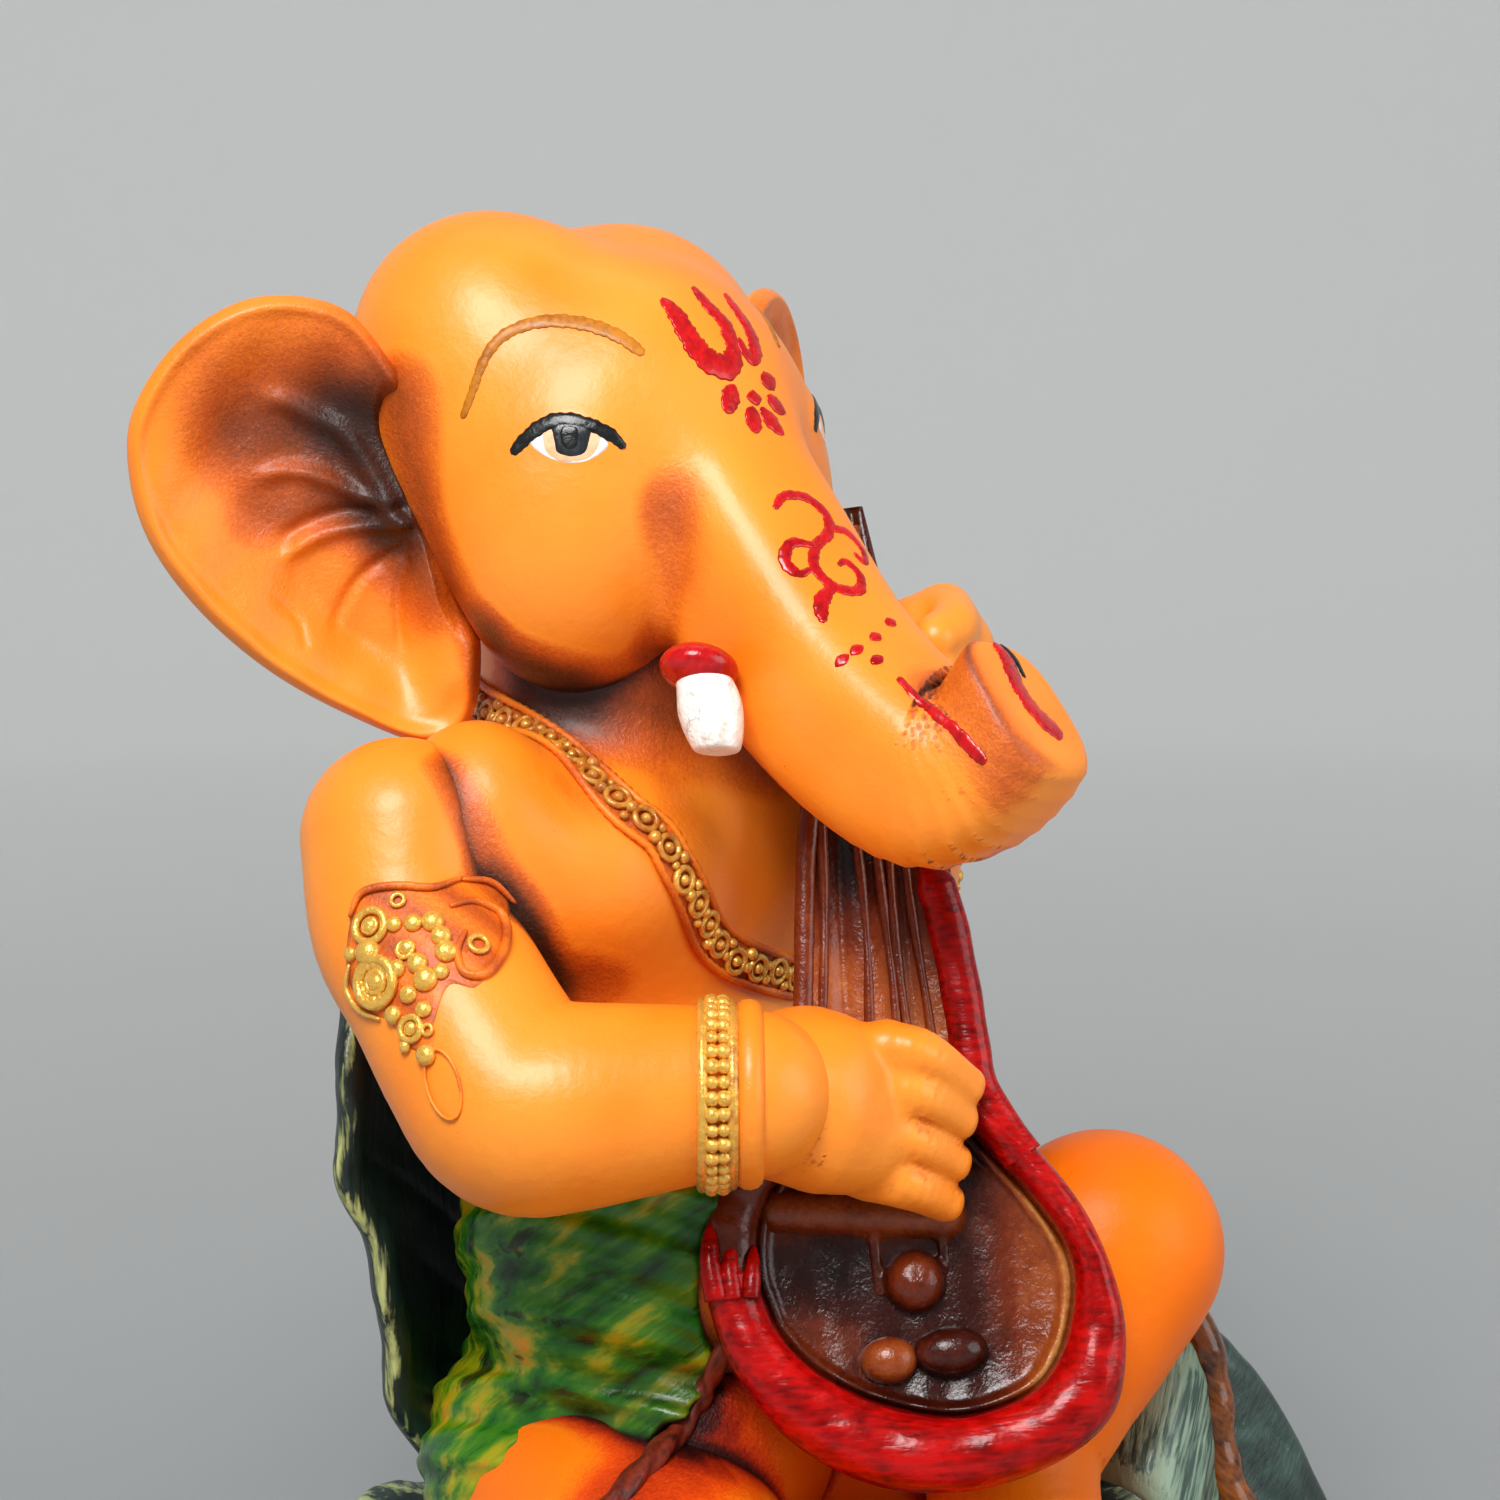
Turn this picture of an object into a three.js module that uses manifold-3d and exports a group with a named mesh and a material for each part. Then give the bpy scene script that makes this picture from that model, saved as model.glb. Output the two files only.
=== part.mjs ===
// Seated Ganesha idol playing a lute while reclining on a leaf seat.
// Millimetres, +Z up. The figure faces -Y, and its own left hand is on the +X side.
// Points are placed from the middle of the seat. At the end the whole idol is moved
// so that the origin is the middle of its footprint, on the surface it stands on.
import * as THREE from 'three';
import { mergeVertices } from 'three/addons/utils/BufferGeometryUtils.js';
import Module from 'manifold-3d';

const wasm = await Module();
wasm.setup();

// ---------------------------------------------------------------- driving sizes
const GAP = 0.3;            // room left between two pieces that touch
const SIDES = { thick: 10, thin: 6, egg: 14 };   // facets round a limb
const THIN_BELOW = 7;       // a limb of smaller radius counts as thin
const CAP_STEPS = 3;        // rings in the rounded end of a limb
const EGG_RINGS = 8;

const SEAT_SIDES = 32;
const SEAT = { width: 75, length: 80, middleX: 9, middleY: -34, floorZ: 20, lowRimZ: 23,
  highRimZ: 42, highSide: 115 * Math.PI / 180 };
const BACK_LEAF = { bottomZ: 22, topZ: 152, widestZ: 90, halfWidth: 41, curl: 14, thickness: 5 };
const SIDE_LEAF = { innerReach: 24, innerDrop: 20, outerReach: 17, outerDrop: 50, thickness: 4 };
const STEM_RADIUS = 2.6;

const BOWL = { halfWidth: 29, length: 28, neckHalf: 11, shoulder: 40, depth: 23 };
const RIM = { width: 6, height: 4, below: 2 };
const SOUNDBOARD = { below: 5, thickness: 2.2 };   // its face lies below the rim's middle plane
const NECK = { start: 36, end: 116, halfWidth: 11.5, endHalfWidth: 6, back: 8 };
const EDGING = { width: 2.6, height: 2.5 };
const STRING = { count: 5, radius: 0.45 };

const BAND = { inside: 0.3, outside: 2.3 };  // how far gold bands stand off the skin
const SASH = { bottomZ: 62, topZ: 103, inside: 0.3, outside: 2.8 };

// ---------------------------------------------------------------- colours
const paint = (color, roughness, metalness = 0) =>
  new THREE.MeshStandardMaterial({ color, roughness, metalness });
const SKIN = paint('#f59a34', 0.45);
const SAFFRON_CLOTH = paint('#f0730c', 0.45);
const GREEN_CLOTH = paint('#3c6a1e', 0.5);
const BROWN_HEM = paint('#6d2412', 0.5);
const IVORY = paint('#f3ecdf', 0.35);
const RED_GLOSS = paint('#c8141a', 0.2);
const BROWN_WOOD = paint('#5a2a14', 0.3);
const GOLD_LEAF = paint('#d8a93c', 0.35, 0.9);
const DARK_LEAF = paint('#12241c', 0.55);
const PALE_LEAF = paint('#7d9c80', 0.6);

// ---------------------------------------------------------------- solids
// A closed manifold from a three.js geometry, with its faces turned outward.
function solidOf(geometry) {
  const bare = (geometry.index ? geometry : mergeVertices(geometry)).clone();
  for (const name of Object.keys(bare.attributes)) {
    if (name !== 'position') bare.deleteAttribute(name);
  }
  const merged = mergeVertices(bare, 1e-4);
  const { position } = merged.attributes;
  const corner = i => new THREE.Vector3().fromBufferAttribute(position, i);
  const triangles = [];
  let volume = 0;
  for (let i = 0; i < merged.index.count; i += 3) {
    const [a, b, c] = [0, 1, 2].map(k => merged.index.getX(i + k));
    if (a === b || b === c || c === a) continue;
    triangles.push([a, b, c]);
    volume += corner(a).dot(corner(b).cross(corner(c)));
  }
  const outward = volume > 0 ? triangles : triangles.map(([a, b, c]) => [a, c, b]);
  return new wasm.Manifold(new wasm.Mesh({
    numProp: 3,
    vertProperties: Float32Array.from(position.array),
    triVerts: Uint32Array.from(outward.flat()),
  }));
}

function geometryOf(solid) {
  const { vertProperties, triVerts } = solid.getMesh();
  const geometry = new THREE.BufferGeometry();
  geometry.setAttribute('position', new THREE.BufferAttribute(vertProperties, 3));
  geometry.setIndex(new THREE.BufferAttribute(triVerts, 1));
  return geometry;
}

const join = (...solids) => solids.reduce((whole, next) => whole.add(next));
const cut = (solid, ...others) => others.reduce((rest, other) => rest.subtract(other), solid);
const common = (solid, other) => solid.intersect(other);

// A shape is a function of grow: the same solid with its surface moved out by grow.
// An egg: a ball stretched along X, Y and Z.
const egg = (centre, radii) => (grow = 0) => {
  const ball = new THREE.SphereGeometry(1, SIDES.egg, EGG_RINGS);
  ball.rotateX(Math.PI / 2);
  ball.scale(...radii.map(radius => radius + grow));
  ball.translate(...centre);
  return solidOf(ball);
};

// One stretch of a limb: two balls of different radius and the cone that touches both.
function roundedCone([ax, ay, az, ra], [bx, by, bz, rb], grow) {
  const [start, end] = [new THREE.Vector3(ax, ay, az), new THREE.Vector3(bx, by, bz)];
  const length = start.distanceTo(end);
  const lean = Math.asin((ra - rb) / length);
  const arc = (radius, from, to, height) => Array.from({ length: CAP_STEPS + 1 }, (_, i) => {
    const angle = from + (to - from) * i / CAP_STEPS;
    const across = Math.max(0, radius * Math.cos(angle));
    return new THREE.Vector2(across < 1e-6 ? 0 : across, height + radius * Math.sin(angle));
  });
  const profile = [
    ...arc(ra + grow, -Math.PI / 2, lean, 0),
    ...arc(rb + grow, lean, Math.PI / 2, length),
  ];
  const sides = Math.max(ra, rb) < THIN_BELOW ? SIDES.thin : SIDES.thick;
  const cone = new THREE.LatheGeometry(profile, sides);
  const direction = end.clone().sub(start).normalize();
  cone.applyQuaternion(new THREE.Quaternion().setFromUnitVectors(
    new THREE.Vector3(0, 1, 0), direction));
  cone.translate(ax, ay, az);
  return solidOf(cone);
}

// A limb runs through stations [x, y, z, radius].
const limb = (...stations) => (grow = 0) => join(...stations.slice(1).map(
  (station, i) => roundedCone(stations[i], station, grow)));

const together = (...shapes) => (grow = 0) => join(...shapes.map(shape => shape(grow)));

// A closed solid through rings that all have the same number of points. The rings run
// round the solid, and each end is closed to the middle of its last ring.
function loft(rings) {
  const count = rings[0].length;
  const points = rings.flat();
  const index = [];
  const quad = (a, b, c, d) => index.push(a, b, c, a, c, d);
  for (let r = 0; r + 1 < rings.length; r++) {
    for (let i = 0; i < count; i++) {
      const next = (i + 1) % count;
      quad(r * count + i, r * count + next, (r + 1) * count + next, (r + 1) * count + i);
    }
  }
  for (const [r, flip] of [[0, true], [rings.length - 1, false]]) {
    const middle = rings[r].reduce((sum, p) => sum.add(p), new THREE.Vector3());
    points.push(middle.divideScalar(count));
    for (let i = 0; i < count; i++) {
      const [a, b] = [r * count + i, r * count + (i + 1) % count];
      index.push(points.length - 1, flip ? b : a, flip ? a : b);
    }
  }
  const geometry = new THREE.BufferGeometry().setFromPoints(points);
  geometry.setIndex(index);
  return solidOf(geometry);
}

// A thick sheet: middle(u, v) is its middle surface, with u and v from 0 to 1.
function sheet(middle, thickness, stepsU, stepsV) {
  const points = [];
  const STEP = 1e-3;
  for (const side of [0.5, -0.5]) {
    for (let i = 0; i <= stepsU; i++) {
      for (let j = 0; j <= stepsV; j++) {
        const [u, v] = [i / stepsU, j / stepsV];
        const alongU = middle(u + STEP, v).sub(middle(u - STEP, v));
        const alongV = middle(u, v + STEP).sub(middle(u, v - STEP));
        const normal = alongU.cross(alongV).normalize();
        points.push(middle(u, v).addScaledVector(normal, side * thickness));
      }
    }
  }
  const row = stepsV + 1;
  const layer = (stepsU + 1) * row;
  const index = [];
  const quad = (a, b, c, d) => index.push(a, b, c, a, c, d);
  for (let i = 0; i < stepsU; i++) {
    for (let j = 0; j < stepsV; j++) {
      const a = i * row + j;
      quad(a, a + row, a + row + 1, a + 1);
      quad(layer + a, layer + a + 1, layer + a + row + 1, layer + a + row);
    }
  }
  const edge = (a, b) => quad(a, b, layer + b, layer + a);
  for (let j = 0; j < stepsV; j++) {
    edge(j, j + 1);
    edge(stepsU * row + j + 1, stepsU * row + j);
  }
  for (let i = 0; i < stepsU; i++) {
    edge((i + 1) * row, i * row);
    edge(i * row + stepsV, (i + 1) * row + stepsV);
  }
  const geometry = new THREE.BufferGeometry().setFromPoints(points);
  geometry.setIndex(index);
  return solidOf(geometry);
}

const curveThrough = points => new THREE.CatmullRomCurve3(
  points.map(point => new THREE.Vector3(...point)), false, 'centripetal');

// A round or rectangular rod swept along a curve.
function sweep(curve, outline, steps) {
  return solidOf(new THREE.ExtrudeGeometry(outline, {
    steps, extrudePath: curve, curveSegments: 3, bevelEnabled: false }));
}

const disc = radius => new THREE.Shape().absarc(0, 0, radius, 0, 2 * Math.PI);

// A band that hugs a shape: the part of the layer round the shape that lies in a region.
const bandOn = (shape, region, { inside, outside } = BAND) =>
  common(cut(shape(outside), shape(inside)), region);

// ---------------------------------------------------------------- body shapes
const torso = together(
  egg([0, 0, 134], [40, 26, 34]),
  egg([0, -14, 88], [34, 30, 36]),
  egg([-17, -12, 144], [19, 16, 16]),
  egg([17, -12, 144], [19, 16, 16]),
  limb([0, 2, 150, 20], [0, 2, 170, 20]),
);
const hips = egg([0, -8, 50], [38, 30, 29]);
const rightThigh = limb([-19, -20, 46, 24], [-44, -62, 40, 18]);
const rightShin = limb([-44, -62, 39, 17], [2, -68, 34, 12]);
const rightFoot = limb([6, -69, 32, 9.5], [22, -68, 30, 8.5], [29, -66, 30, 6.5]);
const leftThigh = limb([20, -24, 50, 23], [44, -59, 84, 18]);
const leftShin = limb([44, -59, 84, 17.5], [12, -89, 38, 12]);
const leftFoot = limb([10, -93, 32, 10], [-6, -101, 29, 8.5], [-13, -104, 28, 6.5]);

const rightUpperArm = limb([-47, -1, 150, 15], [-54, -17, 121, 14.5]);
const rightForearm = limb([-54, -20, 117, 15.5], [-26, -47, 117, 12.5]);
const RIGHT_FINGER_TIPS = [[10, -65, 117], [10, -66, 111.5], [9, -67, 105.5], [7.5, -67, 99.5]];
const rightHand = together(
  limb([-22, -51, 117.5, 12], [-9, -60, 115, 14]),
  ...RIGHT_FINGER_TIPS.map(([x, y, z], i) => limb([-8, -63, 117 - 4.5 * i, 6], [x, y, z, 4])),
);
const leftUpperArm = limb([47, 1, 148, 15], [52, 3, 114, 14]);
const leftForearm = limb([52, 2, 112, 13.5], [43, -19, 156, 11]);
const leftHand = together(
  limb([41, -23, 162, 10.5], [36, -30, 172, 10]),
  ...[0, 1, 2, 3].map(i => limb([38, -30, 178 - 4.6 * i, 4.4], [27, -38, 176 - 4.6 * i, 3.8])),
);

const head = together(
  egg([0, 8, 205], [34, 33, 29]),
  egg([-13, 13, 218.5], [20, 20, 20.5]),
  egg([13, 13, 218], [20, 20, 20]),
  egg([0, -6, 207], [24, 22, 22]),
  limb([-21, -6, 187, 19], [-15, -16, 183, 17]),
  limb([21, -6, 187, 19], [15, -16, 183, 17]),
);
const trunk = limb([0, -14, 208, 19], [0, -36, 184, 15.5], [0, -50, 171, 14.5],
  [1, -61, 164, 13.5], [4, -70, 165, 12], [6, -74, 172, 10.5]);
const tusk = side => limb([side * 18.5, -35, 181, 5], [side * 20, -41.5, 168, 3]);
const tuskCollar = side => limb([side * 17.5, -33, 184, 7], [side * 19, -38, 177.5, 6.4]);

// ---------------------------------------------------------------- ears
// Cupped shells. Each ring is the ear's outline made smaller by scale and moved
// forward by lift, from the back of the ear over its rolled edge to the cup in front.
const EAR_ROOT = new THREE.Vector3(25, 4, 193);
const EAR_OUT = new THREE.Vector3(0.82, 0.57, 0);
const EAR_FRONT = new THREE.Vector3(0.57, -0.82, 0);
const EAR_OUTLINE = [[15, 27], [22, 32.5], [34, 33], [44.5, 26.5], [52, 13], [49, -3],
  [41.5, -13.5], [31, -22], [19, -29], [7.5, -33], [0, -29], [-1, -19], [1, 0], [6, 14]];
const EAR_MIDDLE = new THREE.Vector3(24, 2, 0);
const EAR_RINGS = [{ scale: 0.2, lift: -7.5 }, { scale: 0.6, lift: -6.5 },
  { scale: 0.92, lift: -3 }, { scale: 1, lift: 0.5 }, { scale: 0.93, lift: 2.5 },
  { scale: 0.82, lift: 0.5 }, { scale: 0.55, lift: -2 }, { scale: 0.2, lift: -3.5 }];
const EAR_SIDES = 28;
const ear = side => (grow = 0) => {
  const curve = new THREE.CatmullRomCurve3(
    EAR_OUTLINE.map(([u, v]) => new THREE.Vector3(u, v, 0)), true);
  const outline = curve.getSpacedPoints(EAR_SIDES).slice(0, -1);
  const wider = 1 + grow / 25;
  return loft(EAR_RINGS.map(({ scale, lift }, i) => outline.map(point => {
    const flat = point.clone().sub(EAR_MIDDLE).multiplyScalar(scale * wider).add(EAR_MIDDLE);
    const outward = i < EAR_RINGS.length / 2 ? lift - grow : lift + grow;
    const place = EAR_ROOT.clone().addScaledVector(EAR_OUT, flat.x)
      .addScaledVector(EAR_FRONT, outward);
    return new THREE.Vector3(side * place.x, place.y, place.z + flat.y);
  })));
};

// ---------------------------------------------------------------- lute
// Its own frame has X across the neck, Y up the neck and Z out of the soundboard.
const LUTE_MIDDLE = new THREE.Vector3(-2, -62, 85);
const LUTE_HEAD = new THREE.Vector3(23, -25, 192);
const LUTE_FACES = new THREE.Vector3(-0.62, -0.62, 0.48);
const lutePlace = new THREE.Matrix4();
{
  const up = LUTE_HEAD.clone().sub(LUTE_MIDDLE).normalize();
  const out = LUTE_FACES.clone().addScaledVector(up, -LUTE_FACES.dot(up)).normalize();
  lutePlace.makeBasis(up.clone().cross(out), up, out).setPosition(LUTE_MIDDLE);
}
const onLute = solid => solidOf(geometryOf(solid).applyMatrix4(lutePlace));

const box = (x1, x2, y1, y2, z1, z2) => solidOf(
  new THREE.BoxGeometry(x2 - x1, y2 - y1, z2 - z1)
    .translate((x1 + x2) / 2, (y1 + y2) / 2, (z1 + z2) / 2));
const FAR = 300;   // further than any piece reaches

// The bowl's outline seen from the front: round below, drawn in to the neck above.
function bowlOutline(inset = 0) {
  const [half, length] = [BOWL.halfWidth - inset, BOWL.length - inset];
  const [neck, shoulder] = [BOWL.neckHalf - inset / 2, BOWL.shoulder - inset];
  const shape = new THREE.Shape();
  shape.moveTo(neck, shoulder);
  shape.bezierCurveTo(neck + 2, shoulder * 0.7, half, shoulder * 0.5, half, 0);
  shape.absellipse(0, 0, half, length, 0, -Math.PI, true);
  shape.bezierCurveTo(-half, shoulder * 0.5, -neck - 2, shoulder * 0.7, -neck, shoulder);
  return shape;
}
const plate = (shape, from, to, bevel = 0) => solidOf(new THREE.ExtrudeGeometry(shape, {
  depth: to - from - 2 * bevel, curveSegments: 7, bevelEnabled: bevel > 0, bevelSize: bevel,
  bevelOffset: -bevel, bevelThickness: bevel, bevelSegments: 2,
}).translate(0, 0, from + bevel));

function bowlBody(grow = 0) {
  const DEPTH_STEPS = 5;
  const outline = bowlOutline(-grow).getPoints(7).slice(0, -1);
  return loft(Array.from({ length: DEPTH_STEPS }, (_, k) => {
    const angle = k / DEPTH_STEPS * Math.PI / 2;
    return outline.map(p => new THREE.Vector3(p.x * Math.cos(angle), p.y * Math.cos(angle),
      grow - (BOWL.depth + 2 * grow) * Math.sin(angle)));
  }));
}
// The neck is a bar with a rounded back that narrows towards the lute's head.
function neckBar(grow = 0, face = 0) {
  const halves = [NECK.halfWidth + grow, NECK.endHalfWidth + grow];
  return loft([NECK.start - grow, NECK.end + grow].map((y, k) => {
    const half = halves[k];
    const back = [0, 1, 2, 3, 4, 5, 6].map(i => i / 6 * Math.PI).map(angle =>
      [half * Math.cos(angle), -1 - (NECK.back + grow) * Math.sin(angle)]);
    return [[half, face + grow], ...back, [-half, face + grow]]
      .map(([x, z]) => new THREE.Vector3(x, y, z));
  }));
}
const neckHalfAt = y => THREE.MathUtils.mapLinear(y, NECK.start, NECK.end,
  NECK.halfWidth, NECK.endHalfWidth);

const boardFace = -SOUNDBOARD.below;
const boardBack = boardFace - SOUNDBOARD.thickness;
const rim = common(
  cut(plate(bowlOutline(), -RIM.below, RIM.height, 1.6),
    plate(bowlOutline(RIM.width), -FAR, FAR)),
  box(-FAR, FAR, -FAR, NECK.start - 1, -FAR, FAR));
const bowl = cut(bowlBody(), plate(bowlOutline(-5), -RIM.below - GAP, FAR),
  plate(bowlOutline(RIM.width), boardBack - GAP, FAR), neckBar(GAP));
const soundboard = cut(plate(bowlOutline(RIM.width + GAP), boardBack, boardFace), neckBar(GAP));
const onBoard = (centre, radii) => common(
  egg([...centre, boardFace + GAP], radii)(), box(-FAR, FAR, -FAR, FAR, boardFace + GAP, FAR));
const bridge = onBoard([2, -2], [5, 5.5, 4]);
const tailpieces = { left: onBoard([-5, -12], [4.6, 4, 3.5]), right: onBoard([5, -13], [4.8, 4, 4]) };

function edging(side) {
  return loft([BOWL.shoulder - 2, NECK.end - 8].map(y => {
    const outer = neckHalfAt(y) + 0.6;
    return [[outer, GAP], [outer, GAP + EDGING.height], [outer - EDGING.width, GAP + EDGING.height],
      [outer - EDGING.width, GAP]].map(([x, z]) => new THREE.Vector3(side * x, y, z));
  }));
}
const stringAt = place => sweep(new THREE.LineCurve3(
  ...[BOWL.shoulder + 1, NECK.end - 9].map(y =>
    new THREE.Vector3(place * 2 * (neckHalfAt(y) - EDGING.width - 0.4), y, STRING.radius + GAP))),
disc(STRING.radius), 1);
const luteShape = grow => onLute(join(bowlBody(grow),
  plate(bowlOutline(-grow), -RIM.below - grow, RIM.height + grow),
  neckBar(grow + 0.6, EDGING.height)));

// ---------------------------------------------------------------- leaves
// The seat is a cupped leaf whose rim is highest behind the figure's right hip.
const seatRimZ = angle => THREE.MathUtils.lerp(SEAT.lowRimZ, SEAT.highRimZ,
  (Math.cos(angle - SEAT.highSide) + 1) / 2);
const seatRing = (scale, heightAt) => Array.from({ length: SEAT_SIDES }, (_, i) => {
  const angle = i / SEAT_SIDES * 2 * Math.PI;
  const pointed = 1 - 0.14 * Math.max(0, -Math.sin(angle));
  return new THREE.Vector3(SEAT.middleX + SEAT.width * pointed * Math.cos(angle) * scale,
    SEAT.middleY + SEAT.length * Math.sin(angle) * scale, heightAt(angle));
});
const seat = (grow = 0) => {
  const side = grow / SEAT.width;
  return loft([
    seatRing(0.8 + side, () => 0),
    seatRing(0.88 + side, () => 3),
    seatRing(0.95 + side, angle => seatRimZ(angle) * 0.6),
    seatRing(1 + side, angle => seatRimZ(angle) - 1 + grow),
    seatRing(0.96, angle => seatRimZ(angle) + grow),
    seatRing(0.88 - side, angle => (seatRimZ(angle) + SEAT.floorZ) / 2 + grow),
    seatRing(0.76 - side, () => SEAT.floorZ + grow),
  ]);
};

// The back leaf stands behind the figure, widest at the waist, with its sides curled
// forward and a point at the top.
function leafHalfWidth(z) {
  const { bottomZ, topZ, widestZ, halfWidth } = BACK_LEAF;
  if (z < widestZ) return halfWidth * (1 - 0.55 * ((widestZ - z) / (widestZ - bottomZ)) ** 2);
  return halfWidth * Math.sqrt(1 - ((z - widestZ) / (topZ - widestZ)) ** 2);
}
function backLeafMiddle(u, v) {
  const z = THREE.MathUtils.lerp(BACK_LEAF.bottomZ, BACK_LEAF.topZ, Math.min(v, 0.995));
  const across = 2 * u - 1;
  const lean = 23 + 17 * Math.pow(Math.max(0, v), 2);
  return new THREE.Vector3(across * leafHalfWidth(z), lean - BACK_LEAF.curl * across ** 2, z);
}
const backLeaf = (grow = 0) => sheet(backLeafMiddle, BACK_LEAF.thickness + 2 * grow, 8, 10);

// The side leaf folds over a crest that runs down from beside the knee to the ground.
const CREST = [[56, -22, 44], [60, -40, 66], [63, -60, 67], [68, -70, 52], [74, -80, 36],
  [74, -92, 24]];
const crest = curveThrough(CREST);
const INNER_SIDE = new THREE.Vector3(-0.9, -0.44, 0);
const OUTER_SIDE = new THREE.Vector3(0.94, -0.34, 0);
function sideLeafMiddle(u, v) {
  const ridge = crest.getPoint(THREE.MathUtils.clamp(v, 0, 1));
  if (v < 0 || v > 1) ridge.addScaledVector(crest.getTangent(v < 0 ? 0 : 1), v < 0 ? v : v - 1);
  const across = Math.abs(2 * u - 1);
  const inner = u < 0.5;
  const slim = 0.35 + 0.65 * Math.sin(Math.PI * THREE.MathUtils.clamp(v, 0, 1));
  const reach = (inner ? SIDE_LEAF.innerReach : SIDE_LEAF.outerReach) * slim;
  const drop = (inner ? SIDE_LEAF.innerDrop : SIDE_LEAF.outerDrop) * slim;
  return ridge.addScaledVector(inner ? INNER_SIDE : OUTER_SIDE, across * reach)
    .setZ(ridge.z - drop * Math.pow(across, 1.6));
}
const sideLeaf = cut(sheet(sideLeafMiddle, SIDE_LEAF.thickness, 8, 10),
  box(-FAR, FAR, -FAR, FAR, -FAR, 0));
const stemPath = curveThrough(CREST.slice(1).map(([x, y, z]) => [x, y, z + STEM_RADIUS]));
const stem = (grow = 0) => sweep(stemPath, disc(STEM_RADIUS + grow), 12);

// ---------------------------------------------------------------- clothes and gold
const slab = (centre, normal, width, size) => {
  const geometry = new THREE.BoxGeometry(size, size, width);
  geometry.applyQuaternion(new THREE.Quaternion().setFromUnitVectors(
    new THREE.Vector3(0, 0, 1), new THREE.Vector3(...normal).normalize()));
  return solidOf(geometry.translate(...centre));
};
const sash = (grow = 0) => bandOn(together(torso, hips),
  box(-FAR, FAR, -FAR, FAR, SASH.bottomZ - grow, SASH.topZ + grow),
  { inside: SASH.inside - grow, outside: SASH.outside + grow });
const hem = limb([-13, -44, 87, 2.6], [-21, -41.5, 79, 3], [-30, -41, 70, 3.2],
  [-38, -38, 62, 3.2], [-46, -29, 56, 2.6]);
const NECKLACE_HALF_WIDTH = 4;
const NECKLACE_RIGHT_SIDE = [[-19, 8, 166], [-20, -8, 162], [-20, -25, 153], [-14, -28, 144],
  [-8, -27, 136], [3, -26, 129]];
const NECKLACE_LEFT_SIDE = [[14, -27, 134], [20, -25, 148], [20, -8, 162], [19, 8, 166]];
const NECKLACE_BACK = [0, 24, 160];
const necklace = bandOn(torso, limb(...[NECKLACE_BACK, ...NECKLACE_RIGHT_SIDE,
  ...NECKLACE_LEFT_SIDE, NECKLACE_BACK].map(point => [...point, NECKLACE_HALF_WIDTH]))());
const rightArmlet = bandOn(rightUpperArm, join(
  egg([-61, -22, 137], [14, 13, 15])(), slab([-51, -10, 134], [7, 16, 29], 7, 44)));
const leftArmlet = bandOn(leftUpperArm, join(
  egg([62, -8, 133], [13, 13, 15])(), slab([49.5, 2, 130], [5, 2, -34], 7, 44)));
const rightBracelet = bandOn(rightForearm, slab([-29, -44, 117], [28, -27, 0], 7, 44),
  { inside: 0.3, outside: 3 });
const leftBracelet = bandOn(leftForearm, slab([45, -14.5, 147], [-9, -21, 44], 7, 40),
  { inside: 0.3, outside: 3 });

// ---------------------------------------------------------------- the whole idol
// Pieces are added in order, and each one is cut to leave room for those before it.
const idol = new THREE.Group();
const taken = [];

function addPiece(name, solid, material, takes = null) {
  const bodies = cut(solid, ...taken).decompose();
  const main = bodies.reduce((best, body) => (body.volume() > best.volume() ? body : best));
  const mesh = new THREE.Mesh(geometryOf(main), material);
  mesh.name = name;
  idol.add(mesh);
  if (takes) taken.push(takes);
}
const addShape = (name, shape, material) => addPiece(name, shape(), material, shape(GAP));

addPiece('lute_rim', onLute(rim), RED_GLOSS);
addPiece('lute_bowl', onLute(bowl), BROWN_WOOD);
addPiece('lute_soundboard', onLute(soundboard), BROWN_WOOD);
addPiece('lute_bridge', onLute(bridge), BROWN_WOOD);
addPiece('lute_tailpiece_left', onLute(tailpieces.left), BROWN_WOOD);
addPiece('lute_tailpiece_right', onLute(tailpieces.right), BROWN_WOOD);
addPiece('lute_neck', onLute(neckBar()), BROWN_WOOD);
addPiece('lute_edging_left', onLute(edging(1)), RED_GLOSS);
addPiece('lute_edging_right', onLute(edging(-1)), BROWN_WOOD);
for (let i = 0; i < STRING.count; i++) {
  addPiece(`lute_string_${i + 1}`, onLute(stringAt(i / (STRING.count - 1) - 0.5)), BROWN_WOOD);
}
taken.push(luteShape(GAP));

for (const [name, side] of [['right', -1], ['left', 1]]) {
  addShape(`${name}_tusk`, tusk(side), IVORY);
  addShape(`${name}_tusk_collar`, tuskCollar(side), RED_GLOSS);
}
addShape('trunk', trunk, SKIN);
addShape('head', head, SKIN);
addShape('right_ear', ear(-1), SKIN);
addShape('left_ear', ear(1), SKIN);
addShape('torso', torso, SKIN);
addShape('right_upper_arm', rightUpperArm, SKIN);
addShape('right_forearm', rightForearm, SKIN);
addShape('right_hand', rightHand, SKIN);
addShape('left_upper_arm', leftUpperArm, SKIN);
addShape('left_forearm', leftForearm, SKIN);
addShape('left_hand', leftHand, SKIN);
addPiece('necklace', necklace, GOLD_LEAF);
addPiece('right_armlet', rightArmlet, GOLD_LEAF);
addPiece('left_armlet', leftArmlet, GOLD_LEAF);
addPiece('right_bracelet', rightBracelet, GOLD_LEAF);
addPiece('left_bracelet', leftBracelet, GOLD_LEAF);
addShape('sash_hem', hem, BROWN_HEM);
addShape('dhoti_right_thigh', rightThigh, SAFFRON_CLOTH);
addShape('dhoti_left_thigh', leftThigh, SAFFRON_CLOTH);
addShape('waist_sash', sash, GREEN_CLOTH);
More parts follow.
